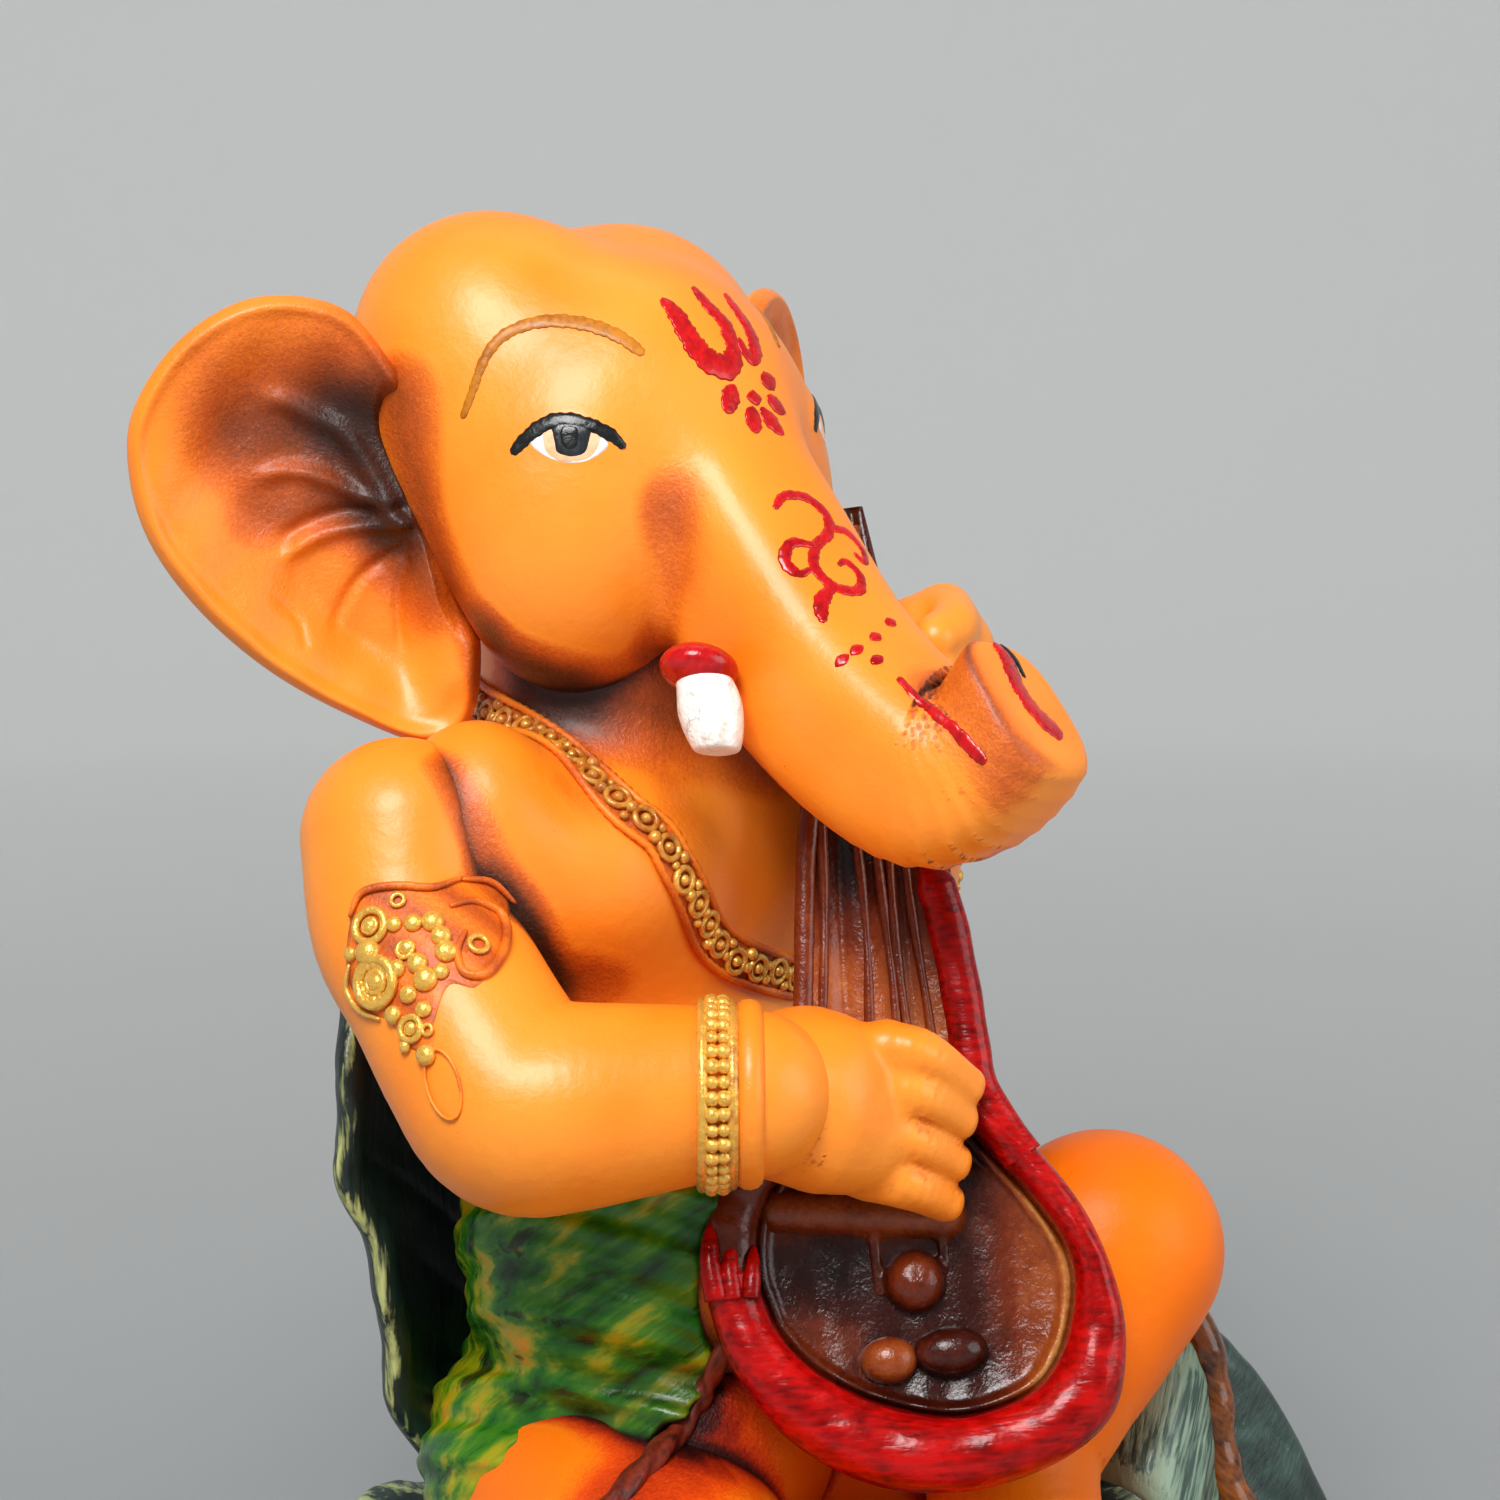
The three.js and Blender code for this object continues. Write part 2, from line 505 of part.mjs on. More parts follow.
addShape('dhoti_hips', hips, SAFFRON_CLOTH);
addShape('dhoti_right_shin', rightShin, SAFFRON_CLOTH);
addShape('dhoti_left_shin', leftShin, SAFFRON_CLOTH);
addShape('right_foot', rightFoot, SKIN);
addShape('left_foot', leftFoot, SKIN);
addShape('seat_leaf', seat, DARK_LEAF);
addShape('back_leaf', backLeaf, DARK_LEAF);
addShape('leaf_stem', stem, BROWN_WOOD);
addPiece('side_leaf', sideLeaf, PALE_LEAF);

const size = new THREE.Box3().setFromObject(idol);
const middle = size.getCenter(new THREE.Vector3());
idol.position.set(-middle.x, -middle.y, -size.min.z);

export default idol;
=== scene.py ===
# Looks of the Ganesha idol: sculpted resin surfaces, painted marks, gold beads and leaves,
# built round the CAD pieces. Shapes are in millimetres from the figure's spine, which is
# found from the CAD torso: X to the figure's left, -Y to its front, Z up from the ground.
import math

import bpy
import numpy as np
from mathutils import Matrix, Vector

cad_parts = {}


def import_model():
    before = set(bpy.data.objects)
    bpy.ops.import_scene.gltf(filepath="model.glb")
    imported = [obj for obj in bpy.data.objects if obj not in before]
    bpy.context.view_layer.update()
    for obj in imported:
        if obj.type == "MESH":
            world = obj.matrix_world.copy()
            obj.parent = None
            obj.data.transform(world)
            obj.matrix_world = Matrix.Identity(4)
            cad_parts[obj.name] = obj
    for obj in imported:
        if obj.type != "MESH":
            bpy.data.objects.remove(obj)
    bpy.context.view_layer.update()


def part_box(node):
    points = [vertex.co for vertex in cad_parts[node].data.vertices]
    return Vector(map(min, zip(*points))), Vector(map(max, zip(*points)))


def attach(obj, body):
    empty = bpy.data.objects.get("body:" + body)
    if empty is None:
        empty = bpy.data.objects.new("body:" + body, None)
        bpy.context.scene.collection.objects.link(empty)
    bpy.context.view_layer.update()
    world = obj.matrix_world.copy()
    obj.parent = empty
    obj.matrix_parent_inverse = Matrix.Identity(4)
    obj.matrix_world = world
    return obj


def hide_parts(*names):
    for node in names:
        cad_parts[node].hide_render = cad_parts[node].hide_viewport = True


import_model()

MM = 0.001
CHEST_TO_BACK = 25.3     # from the spine to the back of the CAD torso, mm
FINE = 0.55              # grid steps for sculpted surfaces, mm
MEDIUM = 0.7

torso_low, torso_high = (np.array(corner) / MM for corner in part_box("torso"))
SPINE = np.array([(torso_low[0] + torso_high[0]) / 2, torso_high[1] - CHEST_TO_BACK, 0.0])


def vec(*values):
    return np.array(values, dtype=float)


def unit(v):
    v = np.asarray(v, dtype=float)
    return v / np.linalg.norm(v, axis=-1, keepdims=True)


def world(points):
    """Millimetres from the spine to metres in the shared frame."""
    return (np.asarray(points, dtype=float) + SPINE) * MM


MARGIN = 3.5             # how far a sculpted shape may reach past its CAD nodes, mm


def node_region(nodes, margin=MARGIN):
    """The box round some CAD nodes, in millimetres from the spine."""
    boxes = [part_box(node) for node in nodes]
    low = np.min([np.array(b[0]) for b in boxes], axis=0) / MM - SPINE - margin
    high = np.max([np.array(b[1]) for b in boxes], axis=0) / MM - SPINE + margin
    return low, high


# ------------------------------------------------------------------ camera and stage
VIEW_AZIMUTH, VIEW_ELEVATION = math.radians(-45), math.radians(10)
CAMERA_DISTANCE = 531.0
AIM = vec(13.8, -13.8, 158.0)
LENS = 85.0


def make_camera():
    back = vec(math.sin(VIEW_AZIMUTH) * math.cos(VIEW_ELEVATION),
               -math.cos(VIEW_AZIMUTH) * math.cos(VIEW_ELEVATION), math.sin(VIEW_ELEVATION))
    data = bpy.data.cameras.new("camera")
    data.lens = LENS
    data.sensor_width = 36.0
    data.clip_start = 0.01
    camera = bpy.data.objects.new("camera", data)
    camera.location = world(AIM + back * CAMERA_DISTANCE)
    camera.rotation_euler = Vector(back).to_track_quat("Z", "Y").to_euler()
    bpy.context.collection.objects.link(camera)
    bpy.context.scene.camera = camera


make_camera()


# ------------------------------------------------------------------ shapes as distances
# A shape is a function from points (N, 3) to the distance outside its surface, in mm.
def egg(centre, radii, turn=None):
    """A ball stretched along its axes. turn holds those axes as columns."""
    centre, radii = vec(*centre), vec(*radii)

    def distance(p):
        q = p - centre if turn is None else (p - centre) @ turn
        near = np.linalg.norm(q / radii, axis=1)
        slope = np.linalg.norm(q / radii ** 2, axis=1)
        return near * (near - 1) / np.maximum(slope, 1e-9)
    return distance


def stretch(start, end):
    """One stretch of a limb, between two stations (x, y, z, radius)."""
    a, b = vec(*start[:3]), vec(*end[:3])
    along = b - a
    length2 = along @ along

    def distance(p):
        t = np.clip((p - a) @ along / length2, 0, 1)
        radius = start[3] + (end[3] - start[3]) * t
        return np.linalg.norm(p - a - t[:, None] * along, axis=1) - radius
    return distance


def smooth_min(a, b, k):
    """The lesser of two distances, with a fillet of about k mm where they cross."""
    h = np.clip(0.5 + 0.5 * (b - a) / k, 0, 1)
    return b + (a - b) * h - k * h * (1 - h)


def blend(k, *shapes):
    """Shapes joined with a fillet of about k mm."""
    def distance(p):
        result = shapes[0](p)
        for shape in shapes[1:]:
            result = smooth_min(result, shape(p), k)
        return result
    return distance


def limb(*stations, k=2.0):
    return blend(k, *[stretch(a, b) for a, b in zip(stations, stations[1:])])


def smooth_curve(points, per_gap=8, closed=False):
    """Points of a smooth curve through the given ones, in any number of columns."""
    points = np.asarray(points, dtype=float)
    if closed:
        padded = np.concatenate([points[-1:], points, points[:2]])
    else:
        padded = np.concatenate([2 * points[:1] - points[1:2], points,
                                 2 * points[-1:] - points[-2:-1]])
    t = np.linspace(0, 1, per_gap, endpoint=False)[:, None]
    curve = []
    for a, b, c, d in zip(padded, padded[1:], padded[2:], padded[3:]):
        curve.append(0.5 * (2 * b + (c - a) * t + (2 * a - 5 * b + 4 * c - d) * t ** 2
                            + (3 * b - a - 3 * c + d) * t ** 3))
    curve = np.concatenate(curve)
    return curve if closed else np.vstack([curve, points[-1:]])


def run_along(path):
    """Distance along a path from its start to each of its points."""
    return np.concatenate([[0], np.cumsum(np.linalg.norm(np.diff(path, axis=0), axis=1))])


def spread(path, count):
    """A path redrawn with a number of evenly spaced points."""
    run = run_along(path)
    places = np.linspace(0, run[-1], count)
    return np.stack([np.interp(places, run, column) for column in path.T], axis=1)


def even_path(path, spacing):
    """A path redrawn with its points about a fixed distance apart."""
    path = np.asarray(path, dtype=float)
    return spread(path, max(int(round(run_along(path)[-1] / spacing)), 2) + 1)


def resampled(path, count):
    """A smooth curve through a path, with a number of evenly spaced points."""
    return spread(smooth_curve(path, 12), count)


def tube(*stations, power=2.0):
    """A smooth limb through stations (x, y, z, half width, half depth). Its width lies
    as near to X as the limb's direction lets it, and a higher power squares its section."""
    line = smooth_curve([tuple(s) if len(s) == 5 else (*s, s[3]) for s in stations], 5)
    starts, moves = line[:-1], np.diff(line, axis=0)
    ahead = unit(moves[:, :3])
    across = unit(vec(1, 0, 0) - ahead * ahead[:, :1])
    facing = np.cross(across, ahead)
    length2 = (moves[:, :3] ** 2).sum(1)

    def distance(p):
        nearest = np.full(len(p), np.inf)
        which, place = np.zeros(len(p), dtype=int), np.zeros(len(p))
        for n, (start, move) in enumerate(zip(starts, moves)):
            offset = p - start[:3]
            t = np.clip(offset @ move[:3] / length2[n], 0, 1)
            far = ((offset - t[:, None] * move[:3]) ** 2).sum(1)
            closer = far < nearest
            nearest[closer], which[closer], place[closer] = far[closer], n, t[closer]
        size = starts[which, 3:] + moves[which, 3:] * place[:, None]
        offset = p - starts[which, :3] - moves[which, :3] * place[:, None]
        parts = [np.abs((offset * axis[which]).sum(1)) / size[:, side]
                 for axis, side in ((across, 0), (facing, 1), (ahead, 1))]
        reach = sum(part ** power for part in parts) ** (1 / power)
        return (reach - 1) * size.min(1)
    return distance


def carve(k, shape, *tools):
    """A shape with others taken out of it, with edges rounded by about k mm."""
    def distance(p):
        result = shape(p)
        for tool in tools:
            result = -smooth_min(-result, tool(p), k)
        return result
    return distance


def behind_plane(point, normal):
    """The half of space on the far side of a plane from its normal."""
    point, normal = vec(*point), unit(vec(*normal))
    return lambda p: (p - point) @ normal


def keep(k, shape, other):
    return carve(k, shape, lambda p: -other(p))


# ------------------------------------------------------------------ meshes from shapes
def surface_net(values, low, step):
    """Vertices and quads of the zero surface of a grid of distances."""
    inside = values < 0
    shape = np.array(values.shape) - 1
    offsets = [(i, j, k) for i in (0, 1) for j in (0, 1) for k in (0, 1)]

    def at(grid, offset):
        i, j, k = offset
        return grid[i:shape[0] + i, j:shape[1] + j, k:shape[2] + k]

    count = sum(at(inside, offset).astype(np.int8) for offset in offsets)
    active = (count > 0) & (count < 8)
    index = np.full(active.shape, -1, dtype=np.int64)
    index[active] = np.arange(active.sum())
    cells = np.argwhere(active)
    total, crossings = np.zeros((len(cells), 3)), np.zeros(len(cells))
    corner = {offset: at(values, offset)[active] for offset in offsets}
    for a in offsets:
        for axis in range(3):
            if a[axis]:
                continue
            b = tuple(1 if n == axis else a[n] for n in range(3))
            va, vb = corner[a], corner[b]
            cross = (va < 0) != (vb < 0)
            t = va[cross] / (va[cross] - vb[cross])
            place = np.tile(np.array(a, dtype=float), (len(t), 1))
            place[:, axis] += t
            total[cross] += place
            crossings[cross] += 1
    points = low + step * (cells + total / crossings[:, None])
    quads = []
    for axis in range(3):
        other = [n for n in range(3) if n != axis]
        first = [slice(1, -1)] * 3
        first[axis] = slice(0, -1)
        second = list(first)
        second[axis] = slice(1, None)
        a, b = inside[tuple(first)], inside[tuple(second)]
        edges = np.argwhere(a != b)
        base = edges.copy()
        base[:, other[0]] += 1
        base[:, other[1]] += 1
        ring = []
        for du, dv in ((-1, -1), (0, -1), (0, 0), (-1, 0)):
            cell = base.copy()
            cell[:, other[0]] += du
            cell[:, other[1]] += dv
            ring.append(index[cell[:, 0], cell[:, 1], cell[:, 2]])
        ring = np.stack(ring, axis=1)
        leaving = a[edges[:, 0], edges[:, 1], edges[:, 2]]
        flip = leaving if axis == 1 else ~leaving
        ring[flip] = ring[flip][:, ::-1]
        quads.append(ring)
    return points, np.concatenate(quads)


def gradient(shape, points):
    """How fast a shape's distance grows along X, Y and Z at each point."""
    STEP = 0.15
    slopes = [shape(points + move) - shape(points - move) for move in STEP * np.eye(3)]
    return np.stack(slopes, axis=1) / (2 * STEP)


def snap(shape, points, rounds=2):
    """Points moved onto a shape's surface, and the normals there."""
    for _ in range(rounds):
        slope = gradient(shape, points)
        size2 = np.maximum((slope ** 2).sum(1), 0.05)
        points = points - slope * (shape(points) / size2)[:, None]
    return points, unit(gradient(shape, points) + 1e-12)


def sculpt(shape, region, step):
    """A mesh of a shape, sampled only near its surface."""
    COARSER = 4
    low, high = region
    cells = np.ceil((high - low) / (step * COARSER)).astype(int) + 1
    wide = step * COARSER
    axes = [low[n] + wide * (np.arange(cells[n]) + 0.5) for n in range(3)]
    centres = np.stack(np.meshgrid(*axes, indexing="ij"), axis=-1)
    rough = shape(centres.reshape(-1, 3)).reshape(cells)
    near = np.abs(rough) < wide * 1.6
    fine = np.repeat(np.repeat(np.repeat(rough, COARSER, 0), COARSER, 1), COARSER, 2)
    mask = np.repeat(np.repeat(np.repeat(near, COARSER, 0), COARSER, 1), COARSER, 2)
    chosen = np.argwhere(mask)
    fine[mask] = shape(low + step * chosen)
    points, quads = surface_net(fine, low, step)
    points, normals = snap(shape, points)
    return points, quads, normals


def make_piece(name, shape, material, *nodes, **marks):
    """A piece from points in millimetres and faces, riding on the root body in place of some
    CAD nodes. Each mark is one value for each point, or one for all, that the paint reads."""
    points, faces = shape
    mesh = bpy.data.meshes.new(name)
    mesh.vertices.add(len(points))
    mesh.vertices.foreach_set("co", world(points).astype(np.float32).ravel())
    corners = faces.shape[1]
    mesh.loops.add(faces.size)
    mesh.loops.foreach_set("vertex_index", faces.astype(np.int32).ravel())
    mesh.polygons.add(len(faces))
    mesh.polygons.foreach_set("loop_start", np.arange(0, faces.size, corners, dtype=np.int32))
    mesh.polygons.foreach_set("use_smooth", np.full(len(faces), True))
    mesh.update(calc_edges=True)
    mesh.validate()
    for mark, values in marks.items():
        layer = mesh.attributes.new(mark, "FLOAT", "POINT")
        layer.data.foreach_set("value", np.full(len(points), values, dtype=np.float32))
    mesh.materials.append(material)
    piece = bpy.data.objects.new(name, mesh)
    bpy.context.collection.objects.link(piece)
    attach(piece, "root")
    if nodes:
        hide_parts(*nodes)


def loft(rings, closed=False):
    """Quads through rings (R, C, 3) with an even number of points in each ring. The rings
    turn anticlockwise seen from the end that the loft runs towards."""
    rings = np.asarray(rings, dtype=float)
    count, columns = rings.shape[:2]
    a = np.arange(count if closed else count - 1)[:, None] * columns
    b = (a + columns) % (count * columns)
    i = np.arange(columns)[None]
    j = (i + 1) % columns
    faces = [np.stack([a + i, a + j, b + j, b + i], axis=-1).reshape(-1, 4)]
    if not closed:
        n = np.arange(columns // 2 - 1)
        cap = np.stack([n, n + 1, columns - 2 - n, columns - 1 - n], axis=-1)
        faces += [cap[:, ::-1], cap + (count - 1) * columns]
    return rings.reshape(-1, 3), np.concatenate(faces)


def grid_quads(rows, columns):
    """The numbers of the points in a grid, and its quads."""
    n = np.arange(rows * columns).reshape(rows, columns)
    return n, np.stack([n[:-1, :-1], n[1:, :-1], n[1:, 1:], n[:-1, 1:]], axis=-1).reshape(-1, 4)


def sheet(front, back):
    """A closed sheet between two grids of points (U, V, 3) that share their size."""
    n, quads = grid_quads(*front.shape[:2])
    size = n.size
    loop = np.concatenate([n[0, :-1], n[:-1, -1], n[-1, :0:-1], n[:0:-1, 0]])
    after = np.roll(loop, -1)
    edge = np.stack([loop, after, after + size, loop + size], axis=-1)
    points = np.concatenate([front.reshape(-1, 3), back.reshape(-1, 3)])
    return points, np.concatenate([quads, quads[:, ::-1] + size, edge])


class Cluster:
    """Small meshes gathered into one piece, with a value for each part."""

    def __init__(self):
        self.points, self.faces, self.values, self.count = [], [], [], 0

    def add(self, mesh, value=0.0):
        points, faces = mesh
        self.points.append(points)
        self.faces.append(faces + self.count)
        self.values.append(np.full(len(points), value))
        self.count += len(points)

    def piece(self, name, material, *nodes):
        make_piece(name, (np.concatenate(self.points), np.concatenate(self.faces)), material,
                   *nodes, shade=np.concatenate(self.values))


def filled_outline(outline, middle, line):
    """A square grid drawn out to fill an outline: its points, each point's share of the way
    to the edge, and how far away the edge is there."""
    edge = outline - middle
    angle, far = np.arctan2(edge[:, 1], edge[:, 0]), np.hypot(*edge.T)
    order = np.argsort(angle)
    u, v = np.meshgrid(line, line, indexing="ij")
    x, y = u * np.sqrt(1 - v ** 2 / 2), v * np.sqrt(1 - u ** 2 / 2)
    reach = np.interp(np.arctan2(y, x), angle[order], far[order], period=2 * math.pi)
    return middle + np.stack([x * reach, y * reach], axis=-1), np.hypot(x, y), reach


def square_ball(cuts):
    """A ball of quads: a cube's faces in a grid, blown up round."""
    line = np.tan(np.linspace(-1, 1, cuts + 1) * math.pi / 4)
    u, v = np.meshgrid(line, line, indexing="ij")
    points, faces = [], []
    n, quads = grid_quads(cuts + 1, cuts + 1)
    for axis in range(3):
        for sign in (1, -1):
            side = np.zeros(u.shape + (3,))
            side[..., axis] = sign
            side[..., (axis + 1) % 3] = u
            side[..., (axis + 2) % 3] = v
            faces.append((quads if sign > 0 else quads[:, ::-1]) + len(points) * n.size)
            points.append(side.reshape(-1, 3))
    points = unit(np.concatenate(points))
    kept, where = np.unique(np.round(points, 6), axis=0, return_inverse=True)
    return kept, where.ravel()[np.concatenate(faces)]


BALL = square_ball(4)


def bead(centre, out, radius, tall=1.0):
    """A ball pressed flat along out by tall."""
    points, faces = BALL
    out = unit(vec(*out))
    squashed = points + (tall - 1) * (points @ out)[:, None] * out
    return vec(*centre) + radius * squashed, faces


def ring(centre, out, radius, wire, stretch=(1.0, 1.0), turn=0.0):
    """A round or oval wire ring that lies on a surface facing out."""
    STEPS, COLUMNS = 20, 8
    right, up, out = axes(out, (0.12, 0.2, 1)).T
    t = np.arange(STEPS) / STEPS * 2 * math.pi
    a = np.arange(COLUMNS) / COLUMNS * 2 * math.pi
    flat_x = np.cos(t)[:, None] * (radius * stretch[0] + wire * np.cos(a))
    flat_y = np.sin(t)[:, None] * (radius * stretch[1] + wire * np.cos(a))
    x = flat_x * math.cos(turn) - flat_y * math.sin(turn)
    y = flat_x * math.sin(turn) + flat_y * math.cos(turn)
    rise = np.broadcast_to(-wire * np.sin(a), x.shape)
    rings = vec(*centre) + x[..., None] * right + y[..., None] * up + rise[..., None] * out
    points, faces = loft(rings, closed=True)
    return points, faces[:, ::-1]


def rope(path, radius, columns=8, up=(0, 0, 1), flat=1.0, twist=None):
    """A tube along a path. radius is one number or one for each point; twist adds lobes."""
    path = np.asarray(path, dtype=float)
    radius = np.broadcast_to(np.asarray(radius, dtype=float), (len(path),))
    ahead = unit(np.gradient(path, axis=0))
    side = unit(np.cross(ahead, vec(*up) if np.ndim(up) == 1 else up))
    top = np.cross(side, ahead)
    a = np.arange(columns) / columns * 2 * math.pi
    size = np.ones((len(path), columns))
    if twist:
        lobes, pitch, depth = twist
        turns = run_along(path)[:, None] / pitch
        size += depth * np.cos(lobes * a[None] - turns * 2 * math.pi)
    x = radius[:, None] * size * np.cos(a)
    y = radius[:, None] * size * np.sin(a) * flat
    return loft(path[:, None] + x[..., None] * side[:, None] + y[..., None] * top[:, None])


def polyline_distance(points, path):
    """How far each point lies from a path, in any number of dimensions."""
    nearest = np.full(len(points), np.inf)
    for a, b in zip(np.asarray(path[:-1], float), np.asarray(path[1:], float)):
        along = b - a
        t = np.clip((points - a) @ along / max(along @ along, 1e-9), 0, 1)
        nearest = np.minimum(nearest, np.linalg.norm(points - a - t[:, None] * along, axis=1))
    return nearest


def bump(distance, width):
    """A soft rounded ridge, 1 at its middle."""
    return np.exp(-(np.asarray(distance) / width) ** 2)


def ease(value, start, end):
    """0 before start and 1 after end, with a smooth change between."""
    t = np.clip((np.asarray(value) - start) / (end - start), 0, 1)
    return t * t * (3 - 2 * t)


def drop(shape, starts, direction):
    """Where straight lines from the starts first meet a shape."""
    MOST_STEPS, REACH, CLOSE = 50, 60.0, 0.01
    run = np.zeros(len(starts))
    for _ in range(MOST_STEPS):
        gap = shape(starts + run[:, None] * direction)
        run = np.clip(run + np.clip(gap * 0.85, -3, 8), 0, REACH)
        if np.abs(gap).max() < CLOSE:
            break
    return starts + run[:, None] * direction


class Drawing:
    """A flat drawing in millimetres, right and up, that is pressed onto a shape."""
    PAINT = 0.2          # thickness of a brush stroke, mm
    WOBBLE = 0.06        # how unevenly a brush stroke's edges run, as a share of its width
    ABOVE = 14.0         # where the drawing floats before it is pressed down

    def __init__(self, shape, origin, out, up=(0, 0, 1)):
        self.shape, self.origin = shape, vec(*origin)
        self.right, self.up, self.out = axes(out, up).T

    def press(self, flat, lift):
        starts = self.origin + flat[:, :1] * self.right + flat[:, 1:2] * self.up
        landed = drop(self.shape, starts + self.out * self.ABOVE, -self.out)
        return landed + unit(gradient(self.shape, landed)) * np.asarray(lift)[:, None]

    def stroke(self, path, widths, blunt=0.5):
        """A brush stroke with rounded ends. widths are full widths along it."""
        widths = np.broadcast_to(np.asarray(widths, dtype=float), (len(path),))
        line = smooth_curve(np.column_stack([path, widths / 2]), 12)
        run = run_along(line[:, :2])
        steps = max(int(run[-1] / 0.22), 8)
        fine = np.linspace(0, run[-1], steps)
        line = np.stack([np.interp(fine, run, column) for column in line.T], axis=1)
        half = line[:, 2] * (1 + self.WOBBLE * np.sin(fine * 2.3 + line[0, 0] * 5)
                             + self.WOBBLE * np.sin(fine * 5.1 + line[0, 1] * 3))
        for end in (fine, run[-1] - fine):
            cap = np.clip(end / np.maximum(half * 2 * blunt, 0.05), 0, 1)
            half = half * np.sqrt(np.clip(1 - (1 - cap) ** 2, 0.0004, 1))
        ahead = unit(np.gradient(line[:, :2], axis=0))
        side = np.stack([-ahead[:, 1], ahead[:, 0]], axis=1)
        columns = ((1, -0.05), (0.8, 0.6), (0.35, 1), (-0.35, 1), (-0.8, 0.6), (-1, -0.05),
                   (-0.5, -1.5), (0.5, -1.5))
        flat = [line[:, :2] + side * (across * half)[:, None] for across, _ in columns]
        lift = [np.full(steps, rise * self.PAINT) for _, rise in columns]
        spots = self.press(np.concatenate(flat), np.concatenate(lift))
        points, faces = loft(spots.reshape(len(columns), steps, 3).transpose(1, 0, 2))
        return points, faces[:, ::-1]

    def blot(self, outline, lift=1.0, steps=18):
        """A filled patch of paint inside a smooth closed outline."""
        edge = smooth_curve(outline, 10, closed=True)
        flat, share, _ = filled_outline(edge, edge.mean(0), np.linspace(-1, 1, steps))
        flat = flat.reshape(-1, 2)
        rise = self.PAINT * lift * (1 - share.ravel() ** 8)
        front = self.press(flat, rise).reshape(steps, steps, 3)
        back = self.press(flat, np.full(len(flat), -1.5 * self.PAINT)).reshape(steps, steps, 3)
        return sheet(front, back)


# ------------------------------------------------------------------ the figure's shapes
def axes(out, up=(0, 0, 1)):
    """Directions to the right, up and outward, as columns, for a surface that faces out."""
    out = unit(vec(*out))
    right = unit(np.cross(vec(*up), out))
    return np.stack([right, np.cross(out, right), out], axis=1)


EYE = (-22.5, -15.0, 206.5)
EYE_FACES = (-0.77, -0.63, 0.04)
SIDES = {"right": -1, "left": 1}


def mirrored(point, side):
    """A point given on the figure's right, moved to the side asked for."""
    return (-side * point[0], *point[1:])


LUTE_MIDDLE, LUTE_HEAD = vec(-2, -62, 85), vec(23, -25, 192)
LUTE_UP = unit(LUTE_HEAD - LUTE_MIDDLE)
LUTE_OUT = vec(-0.62, -0.62, 0.48)
LUTE_OUT = unit(LUTE_OUT - LUTE_UP * (LUTE_OUT @ LUTE_UP))
LUTE_AXES = np.stack([np.cross(LUTE_UP, LUTE_OUT), LUTE_UP, LUTE_OUT])


def on_lute(points):
    """Across, up the neck and out of the soundboard, to millimetres from the spine."""
    return np.asarray(points, dtype=float) @ LUTE_AXES + LUTE_MIDDLE


skull_shape = blend(
    7,
    egg((0, 9, 205), (33, 32, 28)),
    egg((-13.5, 13, 217.5), (20, 20.5, 20.5)),                  # the crown's two lobes
    egg((13.5, 13, 215.8), (20, 20, 19.6)),
    egg((0, -6, 207), (24, 20, 22)),                            # forehead
)
cheek_shape = [egg((side * 13.5, -6, 191.5), (19.5, 17, 22.5)) for side in SIDES.values()]
eye_bulge = [egg(mirrored(EYE, side), (6.5, 4.2, 2.6), axes(mirrored(EYE_FACES, side)))
             for side in SIDES.values()]
trunk_shape = tube((0, -4, 213, 13, 14), (0, -15.2, 202.2, 13.5, 14.3),
                   (0, -28, 188.3, 13.5, 14), (0, -40.3, 175.3, 13, 13.8),
                   (0, -54, 166, 12.5, 13.2), (1.5, -64, 162.3, 12.2, 12.4),
                   (4.5, -71.5, 167, 11, 11), (6.2, -76, 176.5, 9.8, 9.4), power=2.9)
TRUNK_END = dict(point=(4.2, -74.4, 175), normal=(0.24, -0.72, 0.64))
face_shape = carve(2.0, blend(5, blend(9, skull_shape, *cheek_shape), trunk_shape),
                   lambda p: -behind_plane(**TRUNK_END)(p))
face_shape = blend(2.5, face_shape, *eye_bulge)

torso_shape = blend(
    7,
    egg((0, 0, 134), (39, 25.5, 33)),                           # rib cage
    egg((0, -14, 88), (34, 29.5, 35)),                          # belly
    egg((-17, -13, 144), (18.5, 15.5, 15)),                     # right and left breast
    egg((17, -13, 144), (18.5, 15.5, 15)),
    egg((-33, -6, 147), (14, 15, 20)),                          # shoulders
    egg((33, -4, 147), (14, 15, 20)),
    limb((0, 2, 150, 19.5), (0, 2, 172, 19.5)),                 # neck
)
right_arm_shape = tube((-43, -0.8, 150.8, 14.3), (-46.2, -6.2, 139.5, 13.9),
                       (-47.3, -15, 132, 13.9), (-47.6, -23.4, 123.6, 14.4),
                       (-46.5, -29.3, 118, 14.8), (-41.8, -34.6, 118, 14.4),
                       (-35.2, -39.7, 118.5, 13.4), (-28.8, -44.7, 119, 12.4),
                       (-22.6, -50.2, 119, 11.6))
left_arm_shape = blend(3, tube((45, 1, 148, 16), (49, 2, 132, 14.6), (52, 3, 114, 14)),
                       tube((52, 2, 113, 14), (48, -9, 136, 12.8), (43, -19, 156, 11)))

